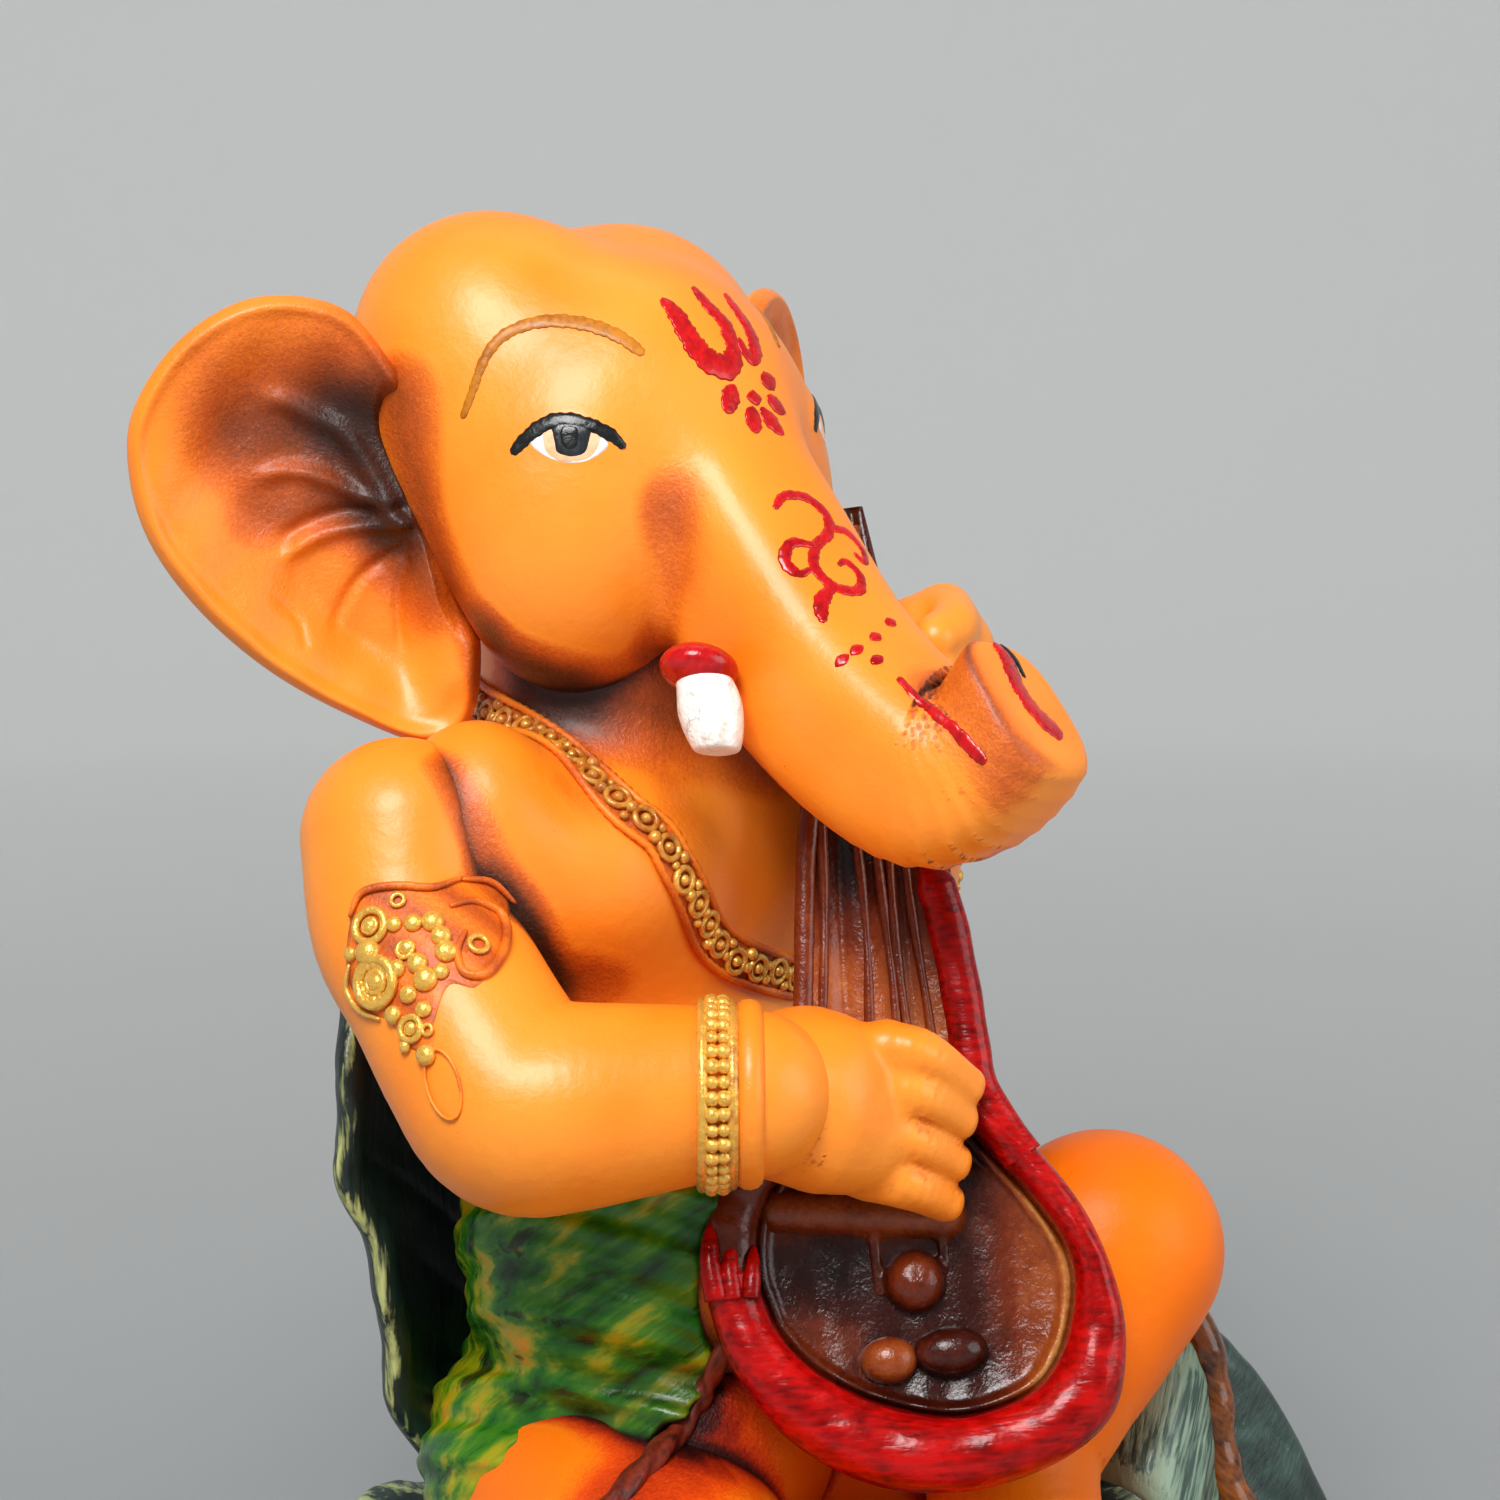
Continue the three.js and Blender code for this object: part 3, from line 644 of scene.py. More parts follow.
FINGERS = 4
KNUCKLES = [(-3.6, -58.5, 123.2), (-4.2, -58.8, 118), (-4.6, -58.2, 111.8), (-5, -57.5, 105.8)]
BENDS = [(-0.5, -62.2, 122.4), (-1.4, -62.4, 116.9), (-1.8, -61.8, 110.4), (-2.2, -61.3, 104.2)]
TIPS = [(6.6, -63.6, 117.3), (5.4, -63.4, 112.5), (4.6, -63, 106.4), (3.8, -62.4, 100.6)]
right_hand_shape = blend(
    1.4,
    blend(5, tube((-23, -49.2, 118.6, 11.4), (-17.5, -49.2, 117.6, 11.6),
                  (-11, -50.5, 116.2, 13.6, 11.5), (-4.5, -52.5, 114, 12.6, 9)),
          egg((-8.5, -55.5, 116), (8.5, 6, 10.5))),
    *[tube((*knuckle, 4.2), (*bend, 3.5), (*tip, 2.8), power=2.4)
      for knuckle, bend, tip in zip(KNUCKLES, BENDS, TIPS)],
)
left_hand_shape = blend(
    1.5,
    limb((42, -21, 160, 10.5), (37, -29, 171, 10), k=4),
    *[tube((39, -30, 178 - 4.6 * i, 4.4), (33, -37, 177 - 4.6 * i, 4),
           (27, -39, 176 - 4.6 * i, 3.6)) for i in range(FINGERS)],
)
hips_shape = blend(5, egg((0, -8, 50), (37.5, 29.5, 29)), egg((-8, -31, 60), (21, 13, 17)))
right_leg_shape = blend(
    4, tube((-19, -20, 46, 24), (-32, -42, 43, 21), (-44, -62, 40, 18)),
    tube((-44, -62, 39, 17), (-20, -66, 37, 15), (2, -68, 34, 12)))
left_leg_shape = blend(
    3, tube((20, -24, 50, 23), (33, -43, 68, 20.5), (44, -59, 83.5, 17.5)),
    tube((44, -59, 83.5, 17), (37, -59.5, 75, 16.2), (28, -60, 66, 14.5),
         (20, -62, 57, 13), (14, -71, 46, 12.2), (11, -87, 37, 11.5)))
right_foot_shape = limb((6, -69, 32, 9.5), (22, -68, 30, 8.5), (29, -66, 30, 6.5), k=3)
left_foot_shape = limb((10, -93, 32, 10), (-6, -101, 29, 8.5), (-13, -104, 28, 6.5), k=3)


def tusk_shape(side):
    """A short tusk with a blunt, broken end."""
    return keep(0.6, tube((side * 18.6, -37.2, 174.5, 3.9), (side * 19, -38.8, 171, 4.5),
                          (side * 19.6, -40.6, 167.4, 3.9), (side * 20, -42, 163.4, 2.3)),
                behind_plane((side * 20, -42, 165.6), (side * 0.3, -0.3, -1)))


def collar_shape(side):
    return egg((side * 18.4, -36, 176.2), (5.7, 5.4, 3.2), axes((side * 0.45, -0.3, -0.85),
                                                                 (0, -1, 0)))


sash_layer = blend(4, torso_shape, hips_shape)


def sash_folds(p):
    """Slanting folds pressed into the waist cloth, mm."""
    slant = p[:, 2] + 0.55 * p[:, 0] + 0.2 * p[:, 1]
    return 0.55 * np.sin(slant * 0.55) + 0.25 * np.sin(slant * 1.3 + p[:, 0] * 0.2)


lute_room = egg(on_lute([0, 4, -2]), (30, 28, 25), LUTE_AXES.T)


def sash_shape(p):
    layer = sash_layer(p) - 2.2 - sash_folds(p)
    hem_line = 38 + 2.0 * np.sin(p[:, 0] * 0.21) + 1.2 * np.sin(p[:, 1] * 0.4)
    front = np.interp(p[:, 0], [-48, -31, -20, -14, 8, 30], [56, 65.5, 72, 82, 72, 58])
    hem_line = hem_line + (front - hem_line) * ease(-p[:, 1], 27, 37)
    cut = np.maximum(hem_line - p[:, 2], p[:, 2] - 103)
    return np.maximum(-smooth_min(-layer, -cut, 1.4), -lute_room(p))


# ------------------------------------------------------------------ materials
def node(tree, kind, settings=None, **inputs):
    """A shader node, with each input set to a value or linked to a socket."""
    made = tree.nodes.new("ShaderNode" + kind)
    for key, value in (settings or {}).items():
        setattr(made, key, value)
    for key, value in inputs.items():
        target = made.inputs[int(key[1:])] if key[0] == "i" and key[1:].isdigit() \
            else made.inputs[key.replace("_", " ")]
        if isinstance(value, bpy.types.NodeSocket):
            tree.links.new(value, target)
        else:
            target.default_value = value
    return made


def colour(code, alpha=1.0):
    """An sRGB hex code as the linear colour that nodes take."""
    parts = [int(code[n:n + 2], 16) / 255 for n in (1, 3, 5)]
    return tuple(c / 12.92 if c <= 0.04045 else ((c + 0.055) / 1.055) ** 2.4
                 for c in parts) + (alpha,)


class Surface:
    """A painted surface whose patterns are sized in millimetres."""

    def __init__(self, name):
        self.material = bpy.data.materials.new(name)
        self.material.use_nodes = True
        self.tree = self.material.node_tree
        self.shader = self.tree.nodes["Principled BSDF"]
        place = node(self.tree, "TexCoord").outputs["Object"]
        self.mm = node(self.tree, "VectorMath", {"operation": "SCALE"},
                       Vector=place, Scale=1 / MM).outputs[0]

    def along(self, direction, stretch):
        """Coordinates drawn out along a direction, for brushed or veined patterns."""
        turn = Vector(direction).to_track_quat("Z", "Y").inverted().to_euler()
        turned = node(self.tree, "VectorRotate", {"rotation_type": "EULER_XYZ"},
                      Vector=self.mm, Rotation=tuple(turn)).outputs[0]
        return node(self.tree, "VectorMath", {"operation": "MULTIPLY"},
                    i0=turned, i1=(1, 1, 1 / stretch)).outputs[0]

    def noise(self, size, detail=3.0, roughness=0.5, at=None, distortion=0.0):
        """Noise from 0 to 1 with patches of about the given size in mm."""
        return node(self.tree, "TexNoise", Vector=at or self.mm, Scale=1 / size,
                    Detail=detail, Roughness=roughness, Distortion=distortion).outputs["Fac"]

    def cracks(self, size):
        """Distance to the edges of random cells of about the given size in mm."""
        return node(self.tree, "TexVoronoi", {"feature": "DISTANCE_TO_EDGE"},
                    Vector=self.mm, Scale=1 / size).outputs["Distance"]

    def mark(self, name):
        return node(self.tree, "Attribute", {"attribute_name": name}).outputs["Fac"]

    def math(self, operation, a, b=0.0, clamp=False):
        return node(self.tree, "Math", {"operation": operation, "use_clamp": clamp},
                    i0=a, i1=b).outputs[0]

    def sum(self, *terms):
        """Weighted sockets added up: (socket, weight) or a number."""
        total = None
        for term in terms:
            value = self.math("MULTIPLY", *term) if isinstance(term, tuple) else term
            total = value if total is None else self.math("ADD", total, value)
        return total

    def ramp(self, value, stops):
        ramp = node(self.tree, "ValToRGB", Fac=value)
        while len(ramp.color_ramp.elements) < len(stops):
            ramp.color_ramp.elements.new(0.5)
        for element, (place, code) in zip(ramp.color_ramp.elements, stops):
            element.position = place
            element.color = colour(code) if isinstance(code, str) else (code,) * 3 + (1,)
        return ramp.outputs["Color"]

    def mix(self, factor, a, b):
        made = node(self.tree, "Mix", {"data_type": "RGBA"})
        for index, value in ((0, factor), (6, a), (7, b)):
            if isinstance(value, bpy.types.NodeSocket):
                self.tree.links.new(value, made.inputs[index])
            else:
                made.inputs[index].default_value = colour(value) if isinstance(value, str) \
                    else value
        return made.outputs[2]

    def finish(self, base, roughness, height=None, bump_mm=0.1, coat=0.0, coat_roughness=0.1,
               metallic=0.0, specular=0.5):
        inputs = self.shader.inputs
        for target, value in ((inputs["Base Color"], base), (inputs["Roughness"], roughness),
                              (inputs["Metallic"], metallic)):
            if isinstance(value, bpy.types.NodeSocket):
                self.tree.links.new(value, target)
            else:
                target.default_value = value
        inputs["Coat Weight"].default_value = coat
        inputs["Coat Roughness"].default_value = coat_roughness
        inputs["Specular IOR Level"].default_value = specular
        if height is not None:
            relief = node(self.tree, "Bump", Strength=1.0, Distance=bump_mm * MM, Height=height)
            self.tree.links.new(relief.outputs[0], inputs["Normal"])
        return self.material


def airbrushed(name, light, deep, tones, gloss=(0.42, 0.38), coat=0.12, specular=0.45):
    """Satin resin paint, light and deep in turn, with brown airbrushed into the hollows."""
    s = Surface(name)
    # The wash mark: brown in the hollows, and painted shade on the ears as well.
    wash = s.mark("wash")
    cloudy, speckle = s.noise(7, detail=4), s.noise(0.55, detail=3, roughness=0.7)
    present = s.ramp(wash, [(0.03, 0.0), (0.2, 1.0)])
    uneven = s.sum((cloudy, 0.3), (speckle, 0.34), -0.32)
    shade = s.math("ADD", wash, s.math("MULTIPLY", uneven, present))
    tint = s.ramp(shade, tones)
    plain = s.mix(s.ramp(s.noise(24, detail=2), [(0.35, 0.0), (0.68, 1.0)]), light, deep)
    pits = s.ramp(s.noise(0.8, detail=1, at=s.along((0.5, -0.4, 0.7), 1.8)),
                  [(0.8, 0.0), (0.86, 1.0)])
    freckle = s.math("MULTIPLY", pits, s.ramp(s.noise(6), [(0.45, 0.0), (0.6, 0.7)]))
    base = s.mix(freckle, s.mix(present, plain, tint), tones[-2][1])
    rough = s.ramp(s.sum((wash, 0.6), (cloudy, 0.3)), [(0.05, gloss[0]), (0.85, gloss[1])])
    grains = s.math("MULTIPLY", present, s.noise(0.9, detail=4, roughness=0.7))
    height = s.sum((s.noise(2.4, detail=3), 0.8), (s.noise(0.45, detail=2), 0.2),
                   (freckle, -0.3), (grains, 1.5))
    return s.finish(base, rough, height, bump_mm=0.16, coat=coat, coat_roughness=0.2,
                    specular=specular)


def enamel(name, light, dark, strokes=None, stretch=8.0, roughness=0.22, coat=0.6,
           specular=0.35):
    """Thick gloss paint, streaked by the brush along a direction."""
    s = Surface(name)
    at = s.along(strokes, stretch) if strokes else s.mm
    streak = s.noise(0.9, detail=3, at=at)
    blotch = s.noise(5, detail=3)
    base = s.ramp(s.sum((streak, 0.5), (blotch, 0.5)), [(0.36, dark), (0.6, light)])
    rough = s.ramp(blotch, [(0.3, roughness * 0.7), (0.7, roughness * 1.5)])
    height = s.sum((streak, 0.6), (s.noise(2.2, detail=2), 0.6))
    return s.finish(base, rough, height, bump_mm=0.22, coat=coat, coat_roughness=0.08,
                    specular=specular)


def gold_paint():
    """Gold leaf paint, thin over brown in the hollows between the castings."""
    s = Surface("gold_over_brown")
    worn = s.sum((s.mark("shade"), 1.0), (s.noise(1.6, detail=4), 0.9), -0.62)
    gilt = s.ramp(worn, [(0.1, 1.0), (0.36, 0.0)])
    gold = s.mix(s.noise(0.8), "#FFD468", "#E39C28")
    base = s.mix(gilt, s.ramp(s.noise(3), [(0.35, "#9A4C14"), (0.7, "#D98626")]), gold)
    rough = s.ramp(s.noise(1.2, detail=3), [(0.3, 0.14), (0.75, 0.36)])
    height = s.sum((s.noise(0.7, detail=3), 1.0), (s.noise(0.25), 0.4))
    return s.finish(base, rough, height, bump_mm=0.16, metallic=s.math("MULTIPLY", gilt, 0.5),
                    coat=0.35)


def leaf_paint(name, body, deep, dry, amount, brushed, size=1.5, stretch=9.0):
    """A leaf painted dark, with a paler colour dragged over its high places and rim."""
    s = Surface(name)
    at = s.along(brushed, stretch)
    hairs = s.noise(size, detail=4, roughness=0.6, at=at)
    patches = s.noise(9, detail=3)
    edge = s.mark("rim")
    touched = s.sum((edge, 0.85), (hairs, 1.5), (patches, 0.5), amount - 0.25)
    cover = s.ramp(touched, [(0.46, 0.0), (0.72, 1.0)])
    ground = s.ramp(s.sum((patches, 0.6), (hairs, 0.4), (edge, 0.4)), [(0.3, deep), (0.62, body)])
    base = s.mix(cover, ground, dry)
    rough = s.ramp(hairs, [(0.3, 0.3), (0.7, 0.55)])
    height = s.sum((hairs, 1.0), (s.noise(3), 0.5))
    return s.finish(base, rough, height, bump_mm=0.3, coat=0.2)


def green_cloth_paint():
    """Green glaze brushed over yellow, darker in the folds and low on the cloth."""
    s = Surface("green_sash_paint")
    slant = (0.62, -0.55, 0.56)
    strokes = s.noise(2.4, detail=4, roughness=0.6, at=s.along(slant, 9.0))
    patches = s.noise(9, detail=2, at=s.along(slant, 2.4))
    creased = s.ramp(s.noise(4.4, detail=3, at=s.along(slant, 6.0)), [(0.33, 1.0), (0.42, 0.0)])
    folds = s.math("MAXIMUM", s.ramp(s.mark("wash"), [(0.2, 0.0), (0.9, 1.0)]),
                   s.math("MULTIPLY", creased, 0.85))
    green = s.ramp(s.sum((strokes, 0.4), (patches, 0.68)),
                   [(0.38, "#0A2E06"), (0.48, "#1A6408"), (0.55, "#437E08"), (0.62, "#9A9A0C"),
                    (0.7, "#D0900C")])
    base = s.mix(folds, green, "#120C04")
    rough = s.ramp(strokes, [(0.3, 0.25), (0.7, 0.45)])
    height = s.sum((strokes, 0.8), (folds, -0.8), (s.noise(0.8), 0.2))
    return s.finish(base, rough, height, bump_mm=0.3, coat=0.15, specular=0.35)


def lute_paint():
    """Dark brown gloss, lighter where the mark says: rubbed, and painted light on the board."""
    s = Surface("brown_lute_paint")
    cloud = s.noise(8, detail=4, roughness=0.6)
    shade = s.sum((s.mark("shade"), 0.85), (cloud, 0.5), (s.noise(0.9, detail=3), 0.2), -0.32)
    base = s.ramp(shade, [(0.05, "#140502"), (0.3, "#3A0E04"), (0.55, "#722A0C"),
                          (0.8, "#A2501C"), (1.0, "#D0904C")])
    rough = s.ramp(cloud, [(0.35, 0.16), (0.7, 0.34)])
    height = s.sum((s.noise(2.2, detail=4), 0.8), (s.noise(0.5), 0.3))
    return s.finish(base, rough, height, bump_mm=0.3, coat=0.2, coat_roughness=0.12,
                    specular=0.3)


def ivory_paint():
    s = Surface("chalky_white_paint")
    patches = s.noise(1.8, detail=4)
    base = s.ramp(patches, [(0.3, "#D9CDBD"), (0.42, "#F4EEE6"), (0.6, "#FFFDF8")])
    chips = s.ramp(s.cracks(3.2), [(0.0, 0.6), (0.03, 0.0)])
    base = s.mix(s.math("MULTIPLY", chips, s.ramp(s.noise(3), [(0.52, 0.0), (0.6, 1.0)])),
                 base, "#5B5148")
    height = s.sum((patches, 1.0), (s.noise(0.6), 0.4))
    return s.finish(base, 0.38, height, bump_mm=0.35, coat=0.3)


SKIN_TONES = [(0.0, "#FF8716"), (0.16, "#F07A14"), (0.36, "#CC5A10"), (0.58, "#96400D"),
              (0.8, "#5A240A"), (1.0, "#301206")]
CLOTH_TONES = [(0.0, "#FF8F08"), (0.16, "#F97708"), (0.36, "#E2480A"), (0.58, "#A02408"),
               (0.8, "#4E0F06"), (1.0, "#260704")]
SKIN = airbrushed("orange_skin_paint", "#FF9628", "#FF8816", SKIN_TONES)
SAFFRON = airbrushed("saffron_cloth_paint", "#FF7A04", "#FF7003", CLOTH_TONES, coat=0.0,
                     specular=0.2)
RED = enamel("red_gloss_paint", "#D00A10", "#980408", (0.3, -0.3, 0.9), coat=0.25)
RED_RIM = enamel("red_rim_paint", "#BC0604", "#6A0202", (0.73, -0.68, 0.06), 5.0, coat=0.12,
                 specular=0.2)
HEM = enamel("brown_hem_paint", "#7A2408", "#260A04", (-0.5, 0.2, -0.8), 4.0, 0.45, 0.1)
STEM = enamel("brown_stem_paint", "#8E4A0E", "#2A1004", (0.3, -0.7, -0.6), 8.0, 0.2, 0.35)
BROW = enamel("brown_brow_paint", "#C47806", "#9A5606", roughness=0.45, coat=0.1)
BLACK = enamel("black_eye_paint", "#101214", "#030405", roughness=0.3, coat=0.2)
IRIS = enamel("grey_iris_paint", "#22282C", "#0A0C0E", (0, 0, 1), 3.0, 0.3, 0.2)
WHITE = enamel("white_eye_paint", "#FFFFFF", "#F0E6DC", roughness=0.35)
PEACH = enamel("peach_eye_paint", "#FFC79C", "#FFB07E", roughness=0.35, coat=0.3)
LUTE, GOLD, IVORY = lute_paint(), gold_paint(), ivory_paint()
GREEN = green_cloth_paint()
DARK_LEAF = leaf_paint("dark_leaf_paint", "#10231F", "#040B0A", "#B9BE76", -0.72,
                       (0.1, 0.2, 1))
SEAT_LEAF = leaf_paint("seat_leaf_paint", "#16302A", "#060F0D", "#A9B57A", -0.66,
                       (1, -0.4, 0.1))
PALE_LEAF = leaf_paint("pale_leaf_paint", "#3F6156", "#12261F", "#93AE94", -0.3,
                       (0.69, 0.34, 0.64), 0.8, 16.0)


# ------------------------------------------------------------------ airbrushed shading
SURROUNDINGS = []        # the shapes that shade each other, with their regions

# How far out from a surface to feel for its neighbours, mm, and what each finding counts.
HOLLOW_PROBES = ((1.5, 0.3), (3.5, 0.4), (8.0, 0.5))
OPEN_HOLLOW = 0.22       # hollows shallower than this get no brown


def hollow(points, normals):
    """How deep each point lies in a hollow between all the shapes, from 0 to about 1."""
    low, high = points.min(0) - 10, points.max(0) + 10
    near = [shape for shape, (a, b) in SURROUNDINGS if np.all(b > low) and np.all(a < high)]
    result = np.zeros(len(points))
    for reach, strength in HOLLOW_PROBES:
        probe = points + normals * reach
        gap = np.full(len(points), reach)
        for shape in near:
            gap = np.minimum(gap, shape(probe))
        result += strength * np.clip((reach - gap) / reach, 0, 1)
    return result


# Airbrush passes: a path of points, how far the brown spreads from it, and how dark it is.
AIRBRUSH = [
    ([(-15, -27, 198), (-15, -30, 192), (-16, -31, 186), (-17, -33, 180)], 10, 0.36),
    ([(-34, 9, 212), (-36, 8, 202), (-35, 6, 192), (-31, 0, 182)], 13, 0.72),
    ([(-29, -6, 178), (-22, -18, 171), (-17, -27, 168)], 9, 0.7),
    ([(-18, 0, 170), (-14, -16, 168), (-3, -24, 165), (8, -27, 160)], 13, 0.75),
    ([(-43, -10, 162), (-43, -15, 157), (-41, -18, 149), (-38, -20, 143), (-35, -19, 135),
      (-31, -17, 128)], 7, 0.62),
    ([(-31, -20, 130), (-18, -30, 127), (-10, -34, 124)], 8, 0.4),
    ([(-28, -19, 160), (-22, -26, 152), (-14, -30, 140), (-8, -29, 132)], 7, 0.28),
    ([(-14, -28, 156), (-6, -32, 148), (-2, -33, 138)], 12, 0.4),
    ([(-9, -34, 163), (-4, -46, 153), (2, -60, 149), (5, -70, 154)], 11, 0.5),
    ([(-5, -69, 180), (-5, -74, 173), (-3, -79, 166)], 13, 0.5),
    ([(-58, -24, 140), (-50, -26, 144), (-44, -20, 146)], 8, 0.42),
    ([(-20, -40, 66), (-32, -42, 64), (-44, -44, 60)], 26, 0.72),
    ([(20, -52, 66), (30, -66, 52), (14, -76, 42)], 14, 0.3),
]


def airbrush(points):
    """Brown sprayed along each pass, fading out over its spread."""
    total = np.zeros(len(points))
    for path, spread, strength in AIRBRUSH:
        line = smooth_curve(path, 4)
        total += strength * (1 - ease(polyline_distance(points, line), 0, spread))
    return total


def wash_on(points, normals):
    """How brown the airbrush left each point of a surface, from 0 to 1."""
    return np.clip(hollow(points, normals) * 0.95 - OPEN_HOLLOW + airbrush(points), 0, 1)


# ------------------------------------------------------------------ sculpted pieces
SCULPTURES = [
    ("face_and_trunk", face_shape, ["head", "trunk"], FINE, SKIN),
    ("torso_skin", torso_shape, ["torso"], MEDIUM, SKIN),
    ("right_arm", right_arm_shape, ["right_upper_arm", "right_forearm"], MEDIUM, SKIN),
    ("right_hand_fist", right_hand_shape, ["right_hand"], FINE, SKIN),
    ("left_arm", left_arm_shape, ["left_upper_arm", "left_forearm"], MEDIUM, SKIN),
    ("left_hand_grip", left_hand_shape, ["left_hand"], MEDIUM, SKIN),
    ("right_foot_bare", right_foot_shape, ["right_foot"], MEDIUM, SKIN),
    ("left_foot_bare", left_foot_shape, ["left_foot"], MEDIUM, SKIN),
    ("dhoti_hip_cloth", hips_shape, ["dhoti_hips"], MEDIUM, SAFFRON),
    ("dhoti_right_leg", right_leg_shape, ["dhoti_right_thigh", "dhoti_right_shin"], MEDIUM,
     SAFFRON),
    ("dhoti_left_leg", left_leg_shape, ["dhoti_left_thigh", "dhoti_left_shin"], MEDIUM,
     SAFFRON),
    ("sash_round_waist", sash_shape, ["waist_sash"], MEDIUM, GREEN),
]
ROOMY = {"sash_round_waist": 26, "dhoti_hip_cloth": 16}    # drawn past their CAD nodes, mm
SURROUNDINGS += [(shape, node_region(nodes)) for _, shape, nodes, *_ in SCULPTURES]
for name, shape, nodes, step, material in SCULPTURES:
    margin = ROOMY.get(name, MARGIN)
    points, quads, normals = sculpt(shape, node_region(nodes, margin), step)
    make_piece(name, (points, quads), material, *nodes, wash=wash_on(points, normals))

for name, side in SIDES.items():
    for kind, shape, material in (
            ("tusk", tusk_shape(side), IVORY),
            ("tusk_collar", collar_shape(side), RED)):
        node_name = f"{name}_{kind}"
        points, quads, _ = sculpt(shape, node_region([node_name], 5), FINE * 0.7)
        make_piece(node_name + "_painted", (points, quads), material, node_name)


# ------------------------------------------------------------------ ears
# Where each ear joins the head and the way it stands out: the left one is swung forward.
EARS = {"right": (vec(25, 4, 193), vec(0.82, 0.57, 0), vec(0.57, -0.82, 0)),
        "left": (vec(25, 4, 191), vec(0.86, 0.51, 0), vec(0.51, -0.86, 0))}
EAR_OUTLINE = [(13.5, 27.2), (20, 32.6), (31, 33.2), (41, 27.5), (47.6, 18), (48.6, 9),
               (46, -1), (39.2, -11), (29.4, -20), (18, -26.8), (7, -31.2), (1, -28.5),
               (-1, -18), (1, 0), (6, 14)]
EAR_MIDDLE = vec(24, 2)
EAR_THICKNESS = 3.4
# Raised folds and pressed creases: path out from the ear's root, height and width in mm.
EAR_FOLDS = [
    ([(32, 18.5), (27, 18.5), (22.7, 16.4), (18.3, 14), (15.6, 10.4), (12, 4)], 1.7, 1.7),
    ([(33, 6.3), (30, 7.6), (26.5, 8.5), (22, 7.7), (17.5, 5.6), (10.5, 1.5)], 1.5, 1.3),
    ([(28.2, -6.1), (25.9, -3.4), (22.2, -1.2), (17.6, 0.1), (9.5, 0.7)], 1.3, 1.2),
    ([(29.5, -4), (26, -0.6), (22.2, 1.4), (17, 2.6), (10, 2.8)], -1.0, 1.2),
    ([(20.2, -16.7), (19.2, -12.5), (17.3, -8.9), (15, -6.2), (9.5, -2.6)], -0.9, 0.9),
    ([(9.5, -19.7), (10.4, -15.5), (10.6, -10), (9.5, -4.5)], -0.8, 0.8),
    ([(30.5, -7.7), (27.9, -10), (25.2, -12.8), (24.3, -16.1)], -0.4, 0.7),
]
# Sprays on an ear's front; the last two are painted shade, over it all and across its top.
EAR_SPRAY_AND_SHADE = [([(32, 13), (25, 14.5), (18, 13), (12, 9)], 11, 0.45),
             ([(15, 16), (11, 11), (8, 3)], 15, 0.52), ([(30, 3), (23, 4), (14, 1)], 7, 0.36),
             ([(10, -2), (6, -9)], 9, 0.36), ([(1, -12), (-1, -24)], 4, 0.35),
             ([(34, 22), (24, 25), (10, 25)], 16, 0.24), ([(24, 2), (24, 2)], 42, 0.16)]
EAR_ROOT_LINE = [(7, 15), (4, 8), (1, 0), (-0.5, -8)]


def ear_meshes(steps):
    """Front and back of an ear as grids in its own frame, and the brown and painted shade on its
    front.
    """
    line = np.linspace(-1, 1, steps)
    line = np.sign(line) * (1.45 * np.abs(line) - 0.45 * line ** 2)   # closer at the rim
    flat, share, reach = filled_outline(smooth_curve(EAR_OUTLINE, 12, closed=True), EAR_MIDDLE,
                                        line)
    inward = (1 - share) * reach                      # distance in from the rim
    across = flat.reshape(-1, 2)
    half = EAR_THICKNESS / 2
    rounding = np.sqrt(np.clip(1 - (1 - np.clip(inward / half, 0, 1)) ** 2, 0, 1))
    low = ease(-flat[..., 1], -14, 12)                # the lip is fuller low on the ear
    rooted = 1 - ease(polyline_distance(across, EAR_ROOT_LINE), 1, 9).reshape(reach.shape)
    lip = (0.7 + 0.9 * low) * bump(inward - 1.6 - 0.4 * low, 1.1 + 0.4 * low)
    lip = lip * (1 - rooted)
    dish = -5.2 * np.maximum(ease(inward, 2.5, 17.0), rooted)
    relief = np.zeros(len(across))
    for path, height, width in EAR_FOLDS:
        smooth = smooth_curve(path, 5)
        fade = ease(polyline_distance(across, path[:1] + path[:1]), 0, 6)
        relief += height * bump(polyline_distance(across, smooth), width) * fade
    relief += 2.6 * bump(polyline_distance(across, [(5, -10), (3, -20)]), 5.5)
    relief -= 3.0 * bump(polyline_distance(across, [(13, 15), (10, 9)]), 6)
    ripple = 0.25 * np.sin(across[:, 0] * 0.55 + across[:, 1] * 0.3)
    face = lip + dish + (relief + ripple).reshape(reach.shape) * ease(inward, 0.5, 4.0)
    front = face + half * rounding
    back = dish * 0.9 - half * rounding - 1.2 * ease(inward, 2, 16)
    wash = np.zeros(len(across))
    for path, spread, strength in EAR_SPRAY_AND_SHADE:
        away = polyline_distance(across, path)
        wash += strength * (1 - ease(away, 0, spread))
    return flat, front, back, np.clip(wash, 0, 1)


